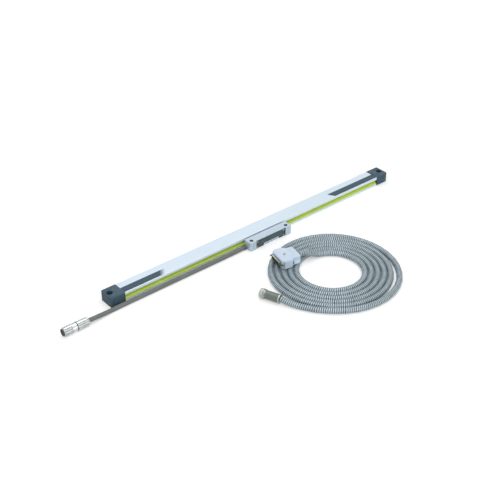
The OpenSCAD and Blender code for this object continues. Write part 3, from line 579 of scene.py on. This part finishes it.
class Finishes:
    """Every finish on the object."""

    PROFILE = Finish(
        "anodised_profile", (0.69, 0.80, 0.895), 0.45, 0.35, lines=0.25,
        patch_colour=(0.62, 0.74, 0.84), patch_amount=0.35, patch_scale=9.0,
    )
    END_BLOCK = Finish(
        "end_block_paint", (0.043, 0.094, 0.127), 0.55, 0.0, specular=0.2, peel=0.35,
        patch_colour=(0.05, 0.09, 0.12), patch_amount=0.4, patch_scale=60.0, edge_wear_and_highlight=0.7,
        edge_wear_and_highlight_colour=(0.16, 0.20, 0.24),
    )
    LIP = Finish(
        "sealing_lip", (0.62, 0.76, 0.125), 0.55, 0.0, lines=0.4, line_fineness=600.0,
        patch_colour=(0.45, 0.59, 0.08), patch_amount=0.5, patch_scale=25.0,
    )
    LABEL = Finish(
        "label_film", (0.050, 0.092, 0.125), 0.5, 0.0, specular=0.25, peel=0.1,
        patch_colour=(0.07, 0.11, 0.14), patch_amount=0.3, patch_scale=40.0,
    )
    LABEL_FADE = FadingFinish(
        "label_fade", (0.050, 0.092, 0.125), 0.48, 0.2, specular=0.3, peel=0.1,
        end_colour=(0.69, 0.80, 0.895),
    )
    BLACK_RUBBER = Finish(
        "black_rubber", (0.018, 0.018, 0.018), 0.7, 0.0, peel=0.3, patch_colour=(0.04, 0.04, 0.04),
        patch_amount=0.4,
    )
    SCREW = Finish(
        "screw_steel", (0.42, 0.43, 0.44), 0.3, 1.0, peel=0.15, patch_colour=(0.3, 0.3, 0.3),
        patch_amount=0.4, patch_scale=200.0,
    )
    DARK_SCREW = Finish(
        "dark_screw", (0.12, 0.13, 0.12), 0.4, 0.9, peel=0.15, patch_colour=(0.08, 0.085, 0.08),
        patch_amount=0.4, patch_scale=200.0,
    )
    GLASS = GlassFinish("scale_glass", (0.80, 0.92, 0.88))
    BOND = Finish("elastic_bond", (0.62, 0.62, 0.55), 0.6, 0.0, peel=0.2)
    # Its last three values paint shade into the bores and narrow corners.
    CASTING = Finish(
        "head_casting", (0.53, 0.65, 0.76), 0.45, 0.3, peel=0.3, peel_scale=900.0,
        patch_colour=(0.42, 0.51, 0.59), patch_amount=0.4, patch_scale=50.0, edge_wear_and_highlight=0.5,
        edge_wear_and_highlight_colour=(0.82, 0.86, 0.90), painted_shade=0.9, painted_shade_reach=0.006,
        painted_shade_colour=(0.04, 0.055, 0.065),
    )
    COVER = Finish(
        "cover_paint", (0.038, 0.074, 0.092), 0.5, 0.0, specular=0.3, peel=0.35,
        patch_colour=(0.06, 0.085, 0.095), patch_amount=0.4, patch_scale=70.0, edge_wear_and_highlight=0.5,
        edge_wear_and_highlight_colour=(0.2, 0.24, 0.26),
    )
    SPRING = Finish(
        "spring_steel", (0.5, 0.51, 0.53), 0.28, 1.0, lines=0.2, patch_colour=(0.4, 0.4, 0.42),
        patch_amount=0.3,
    )
    CARRIAGE = Finish(
        "carriage_metal", (0.55, 0.48, 0.28), 0.4, 0.9, peel=0.2, patch_colour=(0.45, 0.4, 0.25),
        patch_amount=0.3,
    )
    BOARD = Finish(
        "circuit_board", (0.03, 0.16, 0.08), 0.45, 0.0, peel=0.2, patch_colour=(0.05, 0.2, 0.1),
        patch_amount=0.4, patch_scale=300.0,
    )
    JACKET = Finish(
        "lead_jacket", (0.128, 0.140, 0.137), 0.6, 0.0, peel=0.25, peel_scale=1500.0,
        patch_colour=(0.20, 0.215, 0.21), patch_amount=0.5, patch_scale=40.0,
    )
    BEARING = Finish(
        "bearing_steel", (0.62, 0.63, 0.65), 0.15, 1.0, peel=0.05, patch_colour=(0.5, 0.5, 0.52),
        patch_amount=0.3, patch_scale=300.0,
    )
    # Its last three values paint shade into the flutes of the nut and sleeve.
    NICKEL = Finish(
        "nickel_plate", (0.62, 0.65, 0.655), 0.26, 0.95, peel=0.1, patch_colour=(0.34, 0.36, 0.36),
        patch_amount=0.5, patch_scale=120.0, edge_wear_and_highlight=0.8, edge_wear_and_highlight_colour=(0.88, 0.90, 0.90), painted_shade=3.0,
        painted_shade_reach=0.004, painted_shade_colour=(0.10, 0.108, 0.112),
    )
    SOCKET = Finish(
        "socket_metal", (0.135, 0.165, 0.145), 0.38, 0.75, peel=0.15, patch_colour=(0.20, 0.23, 0.20),
        patch_amount=0.5, patch_scale=80.0,
    )
    SOCKET_TRIM = Finish(
        "socket_trim", (0.40, 0.43, 0.40), 0.28, 0.9, peel=0.1, patch_colour=(0.22, 0.25, 0.22),
        patch_amount=0.7, patch_scale=150.0, edge_wear_and_highlight=0.8, edge_wear_and_highlight_colour=(0.85, 0.87, 0.84),
    )
    INSERT = Finish(
        "black_insert", (0.02, 0.02, 0.022), 0.5, 0.0, peel=0.2, patch_colour=(0.035, 0.035, 0.04),
        patch_amount=0.4, patch_scale=200.0,
    )
    CONTACT = Finish(
        "gold_contact", (0.42, 0.34, 0.17), 0.35, 1.0, peel=0.05, patch_colour=(0.34, 0.27, 0.13),
        patch_amount=0.3, patch_scale=300.0,
    )
    HOOD = Finish(
        "hood_metal", (0.57, 0.70, 0.84), 0.42, 0.25, peel=0.25, patch_colour=(0.46, 0.56, 0.67),
        patch_amount=0.4, patch_scale=60.0, edge_wear_and_highlight=0.6, edge_wear_and_highlight_colour=(0.86, 0.90, 0.94),
    )
    # Dark base colour: painted shade of the shell's shaded top and face; its strong light edge colour is a
    # painted highlight of the lit rim.
    FLANGE = Finish(
        "d_shell_plate", (0.25, 0.285, 0.25), 0.34, 0.8, peel=0.1, patch_colour=(0.17, 0.20, 0.17),
        patch_amount=0.4, patch_scale=120.0, edge_wear_and_highlight=1.2, edge_wear_and_highlight_colour=(0.86, 0.88, 0.84),
    )
    FERRULE = Finish(
        "ferrule_plate", (0.20, 0.235, 0.25), 0.42, 0.7, peel=0.15, patch_colour=(0.14, 0.17, 0.18),
        patch_amount=0.4, patch_scale=90.0,
    )
    # The groove colour is painted shade in the helical grooves.
    ARMOUR = ArmourFinish(
        "galvanised_armour", (0.44, 0.53, 0.58), 0.36, 0.35, patch_colour=(0.27, 0.345, 0.385),
        patch_amount=0.6, patch_scale=60.0, peel=0.2, groove_shade_colour=(0.018, 0.028, 0.034),
        groove_width=0.52,
    )


# ---------------------------------------------------------------------------
# Modelling helpers
# ---------------------------------------------------------------------------


class Workshop:
    """The few steps that most pieces share."""

    def __init__(self, nodes: dict[str, bpy.types.Object]) -> None:
        """Keeps the construction nodes.

        Args:
            nodes: The nodes by name.
        """
        self.nodes = nodes
        self.shown: dict[str, bpy.types.Object] = dict(nodes)

    @staticmethod
    def clear_selection() -> None:
        """Deselects everything and leaves edit mode."""
        if bpy.context.object and bpy.context.object.mode != "OBJECT":
            bpy.ops.object.mode_set(mode="OBJECT")
        for item in bpy.context.selected_objects:
            item.select_set(False)

    def only(self, piece: bpy.types.Object) -> None:
        """Makes one object the only selected and active one.

        Args:
            piece: The object.
        """
        self.clear_selection()
        piece.select_set(True)
        bpy.context.view_layer.objects.active = piece

    def dress(self, finish: Finish, *names: str) -> None:
        """Gives construction nodes a finish.

        Args:
            finish: The finish.
            names: The nodes' names.
        """
        for name in names:
            data = self.nodes[name].data
            data.materials.clear()
            data.materials.append(finish.material())

    def finish_piece(self, piece: bpy.types.Object, finish: Finish, body: str) -> None:
        """Applies a piece's place, finish, shading and body.

        Args:
            piece: The new piece.
            finish: Its finish.
            body: The body that it rides on.
        """
        self.only(piece)
        bpy.ops.object.transform_apply(location=True, rotation=True, scale=True)
        piece.data.materials.clear()
        piece.data.materials.append(finish.material())
        bpy.ops.object.shade_smooth_by_angle(angle=math.radians(SMOOTH_ANGLE))
        self.modify(piece, "WEIGHTED_NORMAL", keep_sharp=True, weight=80)
        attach(piece, body)

    def modify(self, piece: bpy.types.Object, kind: str, **values: object) -> None:
        """Adds a modifier and applies it.

        Args:
            piece: The piece.
            kind: The modifier's type.
            values: Its settings.
        """
        self.only(piece)
        modifier = piece.modifiers.new(kind.lower(), kind)
        for name, value in values.items():
            setattr(modifier, name, value)
        bpy.ops.object.modifier_apply(modifier=modifier.name)

    def softened(self, node: str, name: str, width: float, finish: Finish, body: str) -> None:
        """Replaces a construction node by a copy with rounded edges.

        Args:
            node: The node to copy.
            name: The new piece's name.
            width: Width of the rounding, in millimetres.
            finish: The finish.
            body: The body that it rides on.
        """
        piece = link_in(name, self.nodes[node].data.copy())
        self.only(piece)
        bpy.ops.object.mode_set(mode="EDIT")
        bpy.ops.mesh.select_all(action="SELECT")
        bpy.ops.mesh.remove_doubles(threshold=SAME_PLACE)
        bpy.ops.mesh.dissolve_limited(angle_limit=math.radians(FLAT_ANGLE))
        bpy.ops.object.mode_set(mode="OBJECT")
        self.modify(piece, "BEVEL", width=width / 1000.0, segments=2, limit_method="ANGLE",
                    angle_limit=math.radians(ROUNDED_ANGLE), use_clamp_overlap=True)
        self.finish_piece(piece, finish, body)
        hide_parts(node)
        self.shown[node] = piece


# ---------------------------------------------------------------------------
# Free cords
# ---------------------------------------------------------------------------


def smooth_route(points: Sequence[Vector], steps: int) -> list[Vector]:
    """Draws a smooth curve through route points.

    Args:
        points: The route points.
        steps: Points per stretch.

    Returns:
        The points of the curve.
    """
    curve: list[Vector] = []
    last = len(points) - 1
    for i in range(last):
        a, b, c, d = points[max(0, i - 1)], points[i], points[i + 1], points[min(last, i + 2)]
        for k in range(steps):
            t = k / steps
            squared = (2 * a - 5 * b + 4 * c - d) * t * t
            cubed = (3 * b - a - 3 * c + d) * t**3
            curve.append(0.5 * (2 * b + (c - a) * t + squared + cubed))
    curve.append(points[last].copy())
    return curve


def evenly(points: Sequence[Vector], spacing: float) -> list[Vector]:
    """Places points at an even distance along a line.

    Args:
        points: The line's points.
        spacing: Distance between the new points.

    Returns:
        The new points, with both ends kept.
    """
    lengths = [0.0]
    for a, b in zip(points, points[1:]):
        lengths.append(lengths[-1] + (b - a).length)
    count = max(2, round(lengths[-1] / spacing))
    placed: list[Vector] = []
    j = 0
    for k in range(count + 1):
        target = lengths[-1] * k / count
        while j < len(lengths) - 2 and lengths[j + 1] < target:
            j += 1
        span = lengths[j + 1] - lengths[j]
        share = (target - lengths[j]) / span if span else 0.0
        placed.append(points[j].lerp(points[j + 1], min(1.0, share)))
    return placed


@dataclass
class TubeMesh:
    """A closed tube along a line, with a helix in its UV map.

    Attributes:
        line: Evenly spaced centre points.
        radius: Radius by phase of the helix, from 0 to 1.
        pitch: Length of one turn of the helix.
        sides: Sides of the tube.
    """

    line: Sequence[Vector]
    radius: Callable[[float], float]
    pitch: float
    sides: int = 14

    def build(self, name: str) -> bpy.types.Object:
        """Builds the tube.

        Args:
            name: The piece's name.

        Returns:
            The tube's object.
        """
        mesh = bmesh.new()
        helix = mesh.loops.layers.uv.new("helix")
        rings: list[list[bmesh.types.BMVert]] = []
        phases: list[float] = []
        run = 0.0
        last = len(self.line) - 1
        for i, centre in enumerate(self.line):
            if i:
                run += (centre - self.line[i - 1]).length
            tangent = (self.line[min(last, i + 1)] - self.line[max(0, i - 1)]).normalized()
            side = tangent.cross(Vector((0, 0, 1))).normalized()
            up = side.cross(tangent)
            ring = []
            for k in range(self.sides):
                turn = k / self.sides
                reach = self.radius((run / self.pitch - turn) % 1.0)
                angle = 2 * math.pi * turn
                outwards = math.cos(angle) * side + math.sin(angle) * up
                ring.append(mesh.verts.new(centre + reach * outwards))
            rings.append(ring)
            phases.append(run / self.pitch)
        for i in range(last):
            for k in range(self.sides):
                n = (k + 1) % self.sides
                face = mesh.faces.new((rings[i][k], rings[i][n], rings[i + 1][n], rings[i + 1][k]))
                face.smooth = True
                here, after = k / self.sides, (k + 1) / self.sides
                start, end = phases[i], phases[i + 1]
                marks = ((start, here), (start, after), (end, after), (end, here))
                for loop, (along, turn) in zip(face.loops, marks):
                    loop[helix].uv = (along - turn, turn)
        mesh.faces.new(list(reversed(rings[0])))
        mesh.faces.new(rings[-1])
        bmesh.ops.recalc_face_normals(mesh, faces=mesh.faces)
        data = bpy.data.meshes.new(name)
        mesh.to_mesh(data)
        mesh.free()
        return link_in(name, data)


@dataclass
class HeadLead:
    """The reading head's lead, from its gland to the round plug.

    Attributes:
        diameter: Outer diameter.
        route: Route points, in millimetres.
        spacing: Distance between the rings of its mesh.
        sides: Sides of its mesh.
        carried: Nodes that the lead carries; not used.
    """

    diameter: float = 0.007
    spacing: float = 0.003
    sides: int = 20
    carried: Sequence[str] = ("plug_back_nut", "plug_seal_ring", "plug_core", "plug_insert", "plug_sleeve")
    route: Sequence[Point] = (
        (-46.5, -11.7, 4.3), (-62, -11.8, 3.9), (-85, -12, 3.5), (-140, -12.2, 3.5), (-200, -12.4, 3.5),
        (-260, -12.7, 3.5), (-300, -13.1, 3.5), (-320, -14.2, 4.2), (-338, -16, 6.2), (-352.4, -16.8, 7.2),
    )

    def build(self, shop: Workshop) -> None:
        """Args:
            shop: The shared steps; not used.
        """
        line = evenly(smooth_route([mm(*p) for p in self.route], ROUTE_STEPS), self.spacing)
        tube = TubeMesh(line, lambda phase: self.diameter / 2, 0.01, self.sides).build("head_lead_jacket")
        tube.data.materials.append(Finishes.JACKET.material())
        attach(tube, "reading_head")
        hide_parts("head_lead")


@dataclass
class ArmouredHose:
    """The extension cable's armoured hose: down from the D plug, round its flat spiral, out to the socket.

    Attributes:
        diameter: Diameter over the crests.
        pitch: Pitch of the wound strip.
        groove: Depth of the groove between its turns.
        groove_reach: Share of the pitch over which the groove rises, on each side.
        crown: How far the strip's crest falls towards its edges.
        sides: Sides of its mesh.
        centre: Centre of the spiral, in millimetres.
        inner_radius: Radius where the spiral starts counting.
        turn_pitch: Distance between its turns.
        drift: How far its centre moves per turn.
        first: Turns at which the hose meets the spiral.
        last: Turns at which it leaves it.
        start_angle: Angle at which the turns are counted from, in degrees.
        height: Height of its centre line.
        bulges: Where a turn lies further out than the spiral: turns, millimetres and spread in turns.
        from_plug: Points of the run from the D plug.
        to_socket: Points of the run to the socket.
        carried: Nodes that the hose carries; not used.
    """

    diameter: float = 0.0100
    pitch: float = 0.0033
    groove: float = 0.0009
    groove_reach: float = 0.22
    crown: float = 0.0001
    sides: int = 14
    centre: tuple[float, float] = (20.3, -153.8)
    inner_radius: float = 48.6
    turn_pitch: float = 10.0
    drift: tuple[float, float] = (0.2, -0.2)
    first: float = 0.149
    last: float = 5.66
    start_angle: float = 114.0
    height: float = 5.0
    bulges: Sequence[Point] = (
        (1.88, 0.7, 0.085), (2.88, 1.4, 0.085), (3.88, 2.1, 0.085), (4.88, 2.8, 0.085), (5.47, 4.0, 0.09),
    )
    from_plug: Sequence[Point] = (
        (-0.4, -97.9, 17.7), (9, -100, 17.2), (18, -102.6, 13.6), (27, -104.6, 9), (36, -107, 6),
    )
    to_socket: Sequence[Point] = (
        (-52.4, -230.6, 5), (-67.9, -215.1, 5), (-76, -203, 5), (-83, -191.4, 5),
        (-89.6, -178.8, 5.8), (-94.3, -168, 7.6), (-96.6, -161.4, 8.25),
    )
    carried: Sequence[str] = (
        "d_ferrule", "d_hood_upper", "d_hood_lower", "d_shell", "d_insert", "d_contacts", "hood_screws",
        "jackscrew_left", "jackscrew_right", "socket_barrel", "socket_end_ring", "socket_insert",
        "socket_contacts", "socket_ring",
    )

    def spiral(self) -> list[Vector]:
        """Lays out the spiral.

        Returns:
            Its centre points.
        """
        count = round((self.last - self.first) * TURN_STEPS)
        points = []
        for k in range(count + 1):
            turns = self.first + (self.last - self.first) * k / count
            angle = math.radians(self.start_angle - 360 * turns)
            loose = sum(most * math.exp(-(((turns - at) / spread) ** 2) / 2)
                        for at, most, spread in self.bulges)
            reach = self.inner_radius + self.turn_pitch * turns + loose
            points.append(mm(self.centre[0] + self.drift[0] * turns + reach * math.cos(angle),
                             self.centre[1] + self.drift[1] * turns + reach * math.sin(angle), self.height))
        return points

    def profile(self, phase: float) -> float:
        """Gives the hose's radius over one pitch.

        Args:
            phase: Share of the pitch, from 0 to 1.

        Returns:
            The radius.
        """
        off = min(phase, 1 - phase)
        dip = max(0.0, 1 - off / self.groove_reach)
        return self.diameter / 2 - self.groove * dip**1.5 - self.crown * (2 * off - 1) ** 2

    def build(self, shop: Workshop) -> None:
        """Args:
            shop: The shared steps; not used.
        """
        turns = self.spiral()
        head = smooth_route([mm(*p) for p in self.from_plug] + turns[:2], ROUTE_STEPS)[:-ROUTE_STEPS]
        tail = smooth_route(turns[-1:] + [mm(*p) for p in self.to_socket], ROUTE_STEPS)
        line = evenly(head + turns[1:-1] + tail, self.pitch / 5)
        tube = TubeMesh(line, self.profile, self.pitch, self.sides).build("armoured_hose")
        tube.data.materials.append(Finishes.ARMOUR.material())
        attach(tube, "scale")
        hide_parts("armour_coil", "armour_to_d_plug", "armour_to_socket")


# ---------------------------------------------------------------------------
# Sub-assemblies
# ---------------------------------------------------------------------------


@dataclass
class ScaleBody:
    """The extrusion with its lips, end blocks, gaskets and films.

    Attributes:
        block_edge: Rounding of the end blocks' edges, in millimetres.
        fade_length: How far the print of the left film fades out past it.
        fade_height: Height of the fading print over the metal.
    """

    block_edge: float = 0.5
    fade_length: float = 0.010
    fade_height: float = 0.00005

    def print_fade(self, shop: Workshop) -> None:
        """Lays the fading end of the print past the left film.

        Args:
            shop: The shared steps.
        """
        low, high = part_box("label_strip_left")
        strip = shop.nodes["label_strip_left"].data
        front_end = max(v.co.x for v in strip.vertices if v.co.y < (low[1] + high[1]) / 2)
        outline = [(front_end, low[1]), (front_end + self.fade_length, low[1]),
                   (high[0] + self.fade_length, high[1]), (high[0], high[1])]
        corners = [(x, y, z) for z in (low[2], low[2] + self.fade_height) for x, y in outline]
        walls = [(k, (k + 1) % 4, (k + 1) % 4 + 4, k + 4) for k in range(4)]
        data = bpy.data.meshes.new("label_fade")
        data.from_pydata(corners, [], [(3, 2, 1, 0), (4, 5, 6, 7)] + walls)
        faded = data.uv_layers.new(name="fade").data
        for loop, place in zip(data.loops, faded):
            place.uv = (1.0 if loop.vertex_index % 4 in (1, 2) else 0.0, 0.5)
        shop.finish_piece(link_in("label_fade", data), Finishes.LABEL_FADE, "scale")

    def build(self, shop: Workshop) -> None:
        """Dresses the body.

        Args:
            shop: The shared steps.
        """
        shop.dress(Finishes.PROFILE, "scale_housing")
        shop.dress(Finishes.LIP, "upper_lip_seal", "lower_lip_seal")
        shop.dress(Finishes.BLACK_RUBBER, "end_gasket_left", "end_gasket_right")
        shop.dress(Finishes.DARK_SCREW, "end_cap_screws")
        shop.dress(Finishes.GLASS, "glass_scale")
        shop.dress(Finishes.BOND, "glass_bond_strip")
        shop.dress(Finishes.END_BLOCK, "air_port_plugs")
        shop.dress(Finishes.LABEL, "label_strip_left", "label_strip_right")
        self.print_fade(shop)
        for side in ("left", "right"):
            shop.softened(f"end_cap_{side}", f"end_block_{side}", self.block_edge, Finishes.END_BLOCK,
                          "scale")


@dataclass
class ReadingHead:
    """The head's casting, cover, blade and scanning carriage.

    Attributes:
        casting_edge: Rounding of the casting's edges, in millimetres.
        cover_edge: Rounding of the cover's edges.
    """

    casting_edge: float = 0.5
    cover_edge: float = 0.3

    def build(self, shop: Workshop) -> None:
        """Dresses the head.

        Args:
            shop: The shared steps.
        """
        shop.softened("head_housing", "head_casting", self.casting_edge, Finishes.CASTING,
                      "reading_head")
        shop.softened("head_cover", "head_cover_plate", self.cover_edge, Finishes.COVER,
                      "reading_head")
        shop.dress(Finishes.BLACK_RUBBER, "cover_gasket")
        shop.dress(Finishes.SCREW, "cover_screws", "blade_screws", "roller_axles")
        shop.dress(Finishes.SPRING, "drive_blade", "coupling_wire")
        shop.dress(Finishes.CARRIAGE, "scanning_carriage")
        shop.dress(Finishes.GLASS, "lamp_lens", "index_grating")
        shop.dress(Finishes.BOARD, "photocell_board", "head_circuit_board")
        shop.dress(Finishes.JACKET, "cable_gland")
        shop.dress(Finishes.BEARING, "face_roller_left", "face_roller_mid", "face_roller_right",
                   "edge_roller_left", "edge_roller_right")


@dataclass
class RoundPlug:
    """The plug on the head's lead.

    Attributes:
        edge: Rounding of its edges, in millimetres.
    """

    edge: float = 0.12

    def build(self, shop: Workshop) -> None:
        """Dresses the plug.

        Args:
            shop: The shared steps.
        """
        shop.dress(Finishes.NICKEL, "plug_core")
        shop.softened("plug_back_nut", "back_nut", self.edge, Finishes.NICKEL,
                      "reading_head")
        shop.softened("plug_sleeve", "fluted_sleeve", self.edge, Finishes.NICKEL,
                      "plug_sleeve")
        shop.dress(Finishes.BLACK_RUBBER, "plug_seal_ring")
        shop.dress(Finishes.INSERT, "plug_insert")


@dataclass
class LineSocket:
    """The round socket on the armoured hose.

    Attributes:
        edge: Rounding of its edges, in millimetres.
    """

    edge: float = 0.15

    def build(self, shop: Workshop) -> None:
        """Dresses the socket.

        Args:
            shop: The shared steps.
        """
        shop.softened("socket_barrel", "barrel", self.edge, Finishes.SOCKET, "scale")
        shop.softened("socket_end_ring", "barrel_end", self.edge, Finishes.SOCKET_TRIM,
                      "scale")
        shop.softened("socket_ring", "coupling_ring", self.edge, Finishes.SOCKET_TRIM,
                      "socket_ring")
        shop.dress(Finishes.INSERT, "socket_insert")
        shop.dress(Finishes.CONTACT, "socket_contacts")


@dataclass
class DPlug:
    """The D plug: a two-part hood round a flanged shell.

    Attributes:
        hood_edge: Rounding of the hood's edges, in millimetres.
        shell_edge: Rounding of the shell's edges.
    """

    hood_edge: float = 0.6
    shell_edge: float = 0.12

    def build(self, shop: Workshop) -> None:
        """Dresses the plug.

        Args:
            shop: The shared steps.
        """
        for half in ("upper", "lower"):
            shop.softened(f"d_hood_{half}", f"hood_{half}", self.hood_edge, Finishes.HOOD,
                          "scale")
        shop.softened("d_shell", "flanged_shell", self.shell_edge, Finishes.FLANGE, "scale")
        shop.dress(Finishes.INSERT, "d_insert")
        shop.dress(Finishes.CONTACT, "d_contacts")
        shop.dress(Finishes.FERRULE, "d_ferrule")
        shop.dress(Finishes.SCREW, "hood_screws")
        shop.dress(Finishes.DARK_SCREW, "jackscrew_left", "jackscrew_right")


# ---------------------------------------------------------------------------
# Stage
# ---------------------------------------------------------------------------


@dataclass
class Stage:
    """Camera, floor, lamps and world.

    Attributes:
        camera_place: Place of the camera, in millimetres.
        sight: Direction that it looks in.
        lens: Focal length in millimetres.
        sensor: Width of the camera's sensor in millimetres.
        ambient: Strength of the even light.
        floor_size: Edge of the floor.
        floor_grey: Colour of the floor in every channel.
        floor_glow: Glow of the floor near the object.
        far_glow: Glow of the floor far from it.
        fade_start: Distance at which the glow starts to rise.
        fade_end: Distance at which it has risen.
    """

    camera_place: Point = (-891.1, -1042.2, 901.7)
    sight: Point = (0.5299, 0.6364, -0.5605)
    lens: float = 69.29
    sensor: float = 36.0
    ambient: float = 0.36
    floor_size: float = 3.2
    floor_grey: float = 0.85
    floor_glow: float = 0.30
    far_glow: float = 0.62
    fade_start: float = 0.3
    fade_end: float = 1.6

    def camera(self) -> None:
        """Places the camera and makes it the scene's."""
        data = bpy.data.cameras.new("view")
        data.lens = self.lens
        data.sensor_width = self.sensor
        data.clip_end = 20.0
        eye = link_in("view", data)
        eye.location = mm(*self.camera_place)
        eye.rotation_euler = Vector(self.sight).to_track_quat("-Z", "Y").to_euler()
        bpy.context.scene.camera = eye

    def floor(self) -> None:
        """Lays the pale floor."""
        bpy.ops.mesh.primitive_plane_add(size=self.floor_size, location=(0, 0, 0))
        plane = bpy.context.object
        plane.name = "floor"
        material, tree, shader = new_material("floor_white")
        shader.inputs["Base Color"].default_value = (*[self.floor_grey] * 3, 1)
        shader.inputs["Roughness"].default_value = 0.9
        shader.inputs["Specular IOR Level"].default_value = 0.0
        shader.inputs["Emission Color"].default_value = (1, 1, 1, 1)
        glow = product(tree, self._seen(tree), self._far_glow(tree))
        tree.links.new(glow, shader.inputs["Emission Strength"])
        plane.data.materials.append(material)

    def _far_glow(self, tree: Tree) -> Socket:
        """Makes up for the lamps' light, which falls off away from the object.

        Args:
            tree: The floor's node tree.

        Returns:
            The glow's strength, which rises with the distance from the middle.
        """
        place = add_node(tree, "ShaderNodeTexCoord")
        reach = add_node(tree, "ShaderNodeVectorMath", operation="LENGTH")
        tree.links.new(place.outputs["Object"], reach.inputs[0])
        limits = {"From Min": self.fade_start, "From Max": self.fade_end,
                  "To Min": self.floor_glow, "To Max": self.far_glow}
        rise = add_node(tree, "ShaderNodeMapRange", limits)
        tree.links.new(reach.outputs["Value"], rise.inputs["Value"])
        return rise.outputs["Result"]

    @staticmethod
    def _seen(tree: Tree) -> Socket:
        """Says whether a ray is one that shows the background.

        Args:
            tree: The node tree.

        Returns:
            One for camera, glossy and transmission rays.
        """
        path = add_node(tree, "ShaderNodeLightPath")
        total = path.outputs["Is Camera Ray"]
        for name in ("Is Glossy Ray", "Is Transmission Ray"):
            either = add_node(tree, "ShaderNodeMath", operation="MAXIMUM")
            tree.links.new(total, either.inputs[0])
            tree.links.new(path.outputs[name], either.inputs[1])
            total = either.outputs["Value"]
        return total

    def world(self) -> None:
        """Lights the scene evenly and shows white behind it."""
        world = bpy.data.worlds.new("studio")
        bpy.context.scene.world = world
        world.use_nodes = True
        tree = world.node_tree
        back = tree.nodes["Background"]
        back.inputs["Color"].default_value = (1, 1, 1, 1)
        level = add_node(tree, "ShaderNodeMapRange", {"To Min": self.ambient, "To Max": 1.0})
        tree.links.new(self._seen(tree), level.inputs["Value"])
        tree.links.new(level.outputs["Result"], back.inputs["Strength"])

    @staticmethod
    def lamp(name: str, place: Point, aim: Point, size: float, power: float) -> None:
        """Adds a soft lamp.

        Args:
            name: Its name.
            place: Its place, in metres.
            aim: The point that it faces.
            size: Edge of its square, in metres.
            power: Its power, in watts.
        """
        data = bpy.data.lights.new(name, "AREA")
        data.size = size
        data.energy = power
        lamp = link_in(name, data)
        lamp.location = place
        lamp.rotation_euler = (Vector(aim) - Vector(place)).to_track_quat("-Z", "Y").to_euler()

    def build(self) -> None:
        """Builds the whole stage."""
        bpy.context.scene.view_settings.view_transform = "Standard"
        self.camera()
        self.floor()
        self.world()
        self.lamp("key", (-0.9, -0.85, 1.75), (0, 0, 0), 1.3, 14.0)
        self.lamp("top", (0.4, 0.3, 2.1), (0, -0.05, 0), 1.8, 15.0)
        self.lamp("front", (-0.2, -2.0, 0.5), (0, 0, 0), 1.2, 9.0)


def main() -> None:
    """Builds the stage and every sub-assembly, and reports each one."""
    logging.basicConfig(level=logging.INFO, format="%(message)s")
    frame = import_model()
    shop = Workshop(frame["nodes"])
    shop.clear_selection()
    Stage().build()
    LOG.info("stage built")
    connectors = (RoundPlug(), LineSocket(), DPlug())
    for assembly in (ScaleBody(), ReadingHead(), *connectors, HeadLead(), ArmouredHose()):
        assembly.build(shop)
        LOG.info("%s built", type(assembly).__name__)


if __name__ == "__main__":
    main()
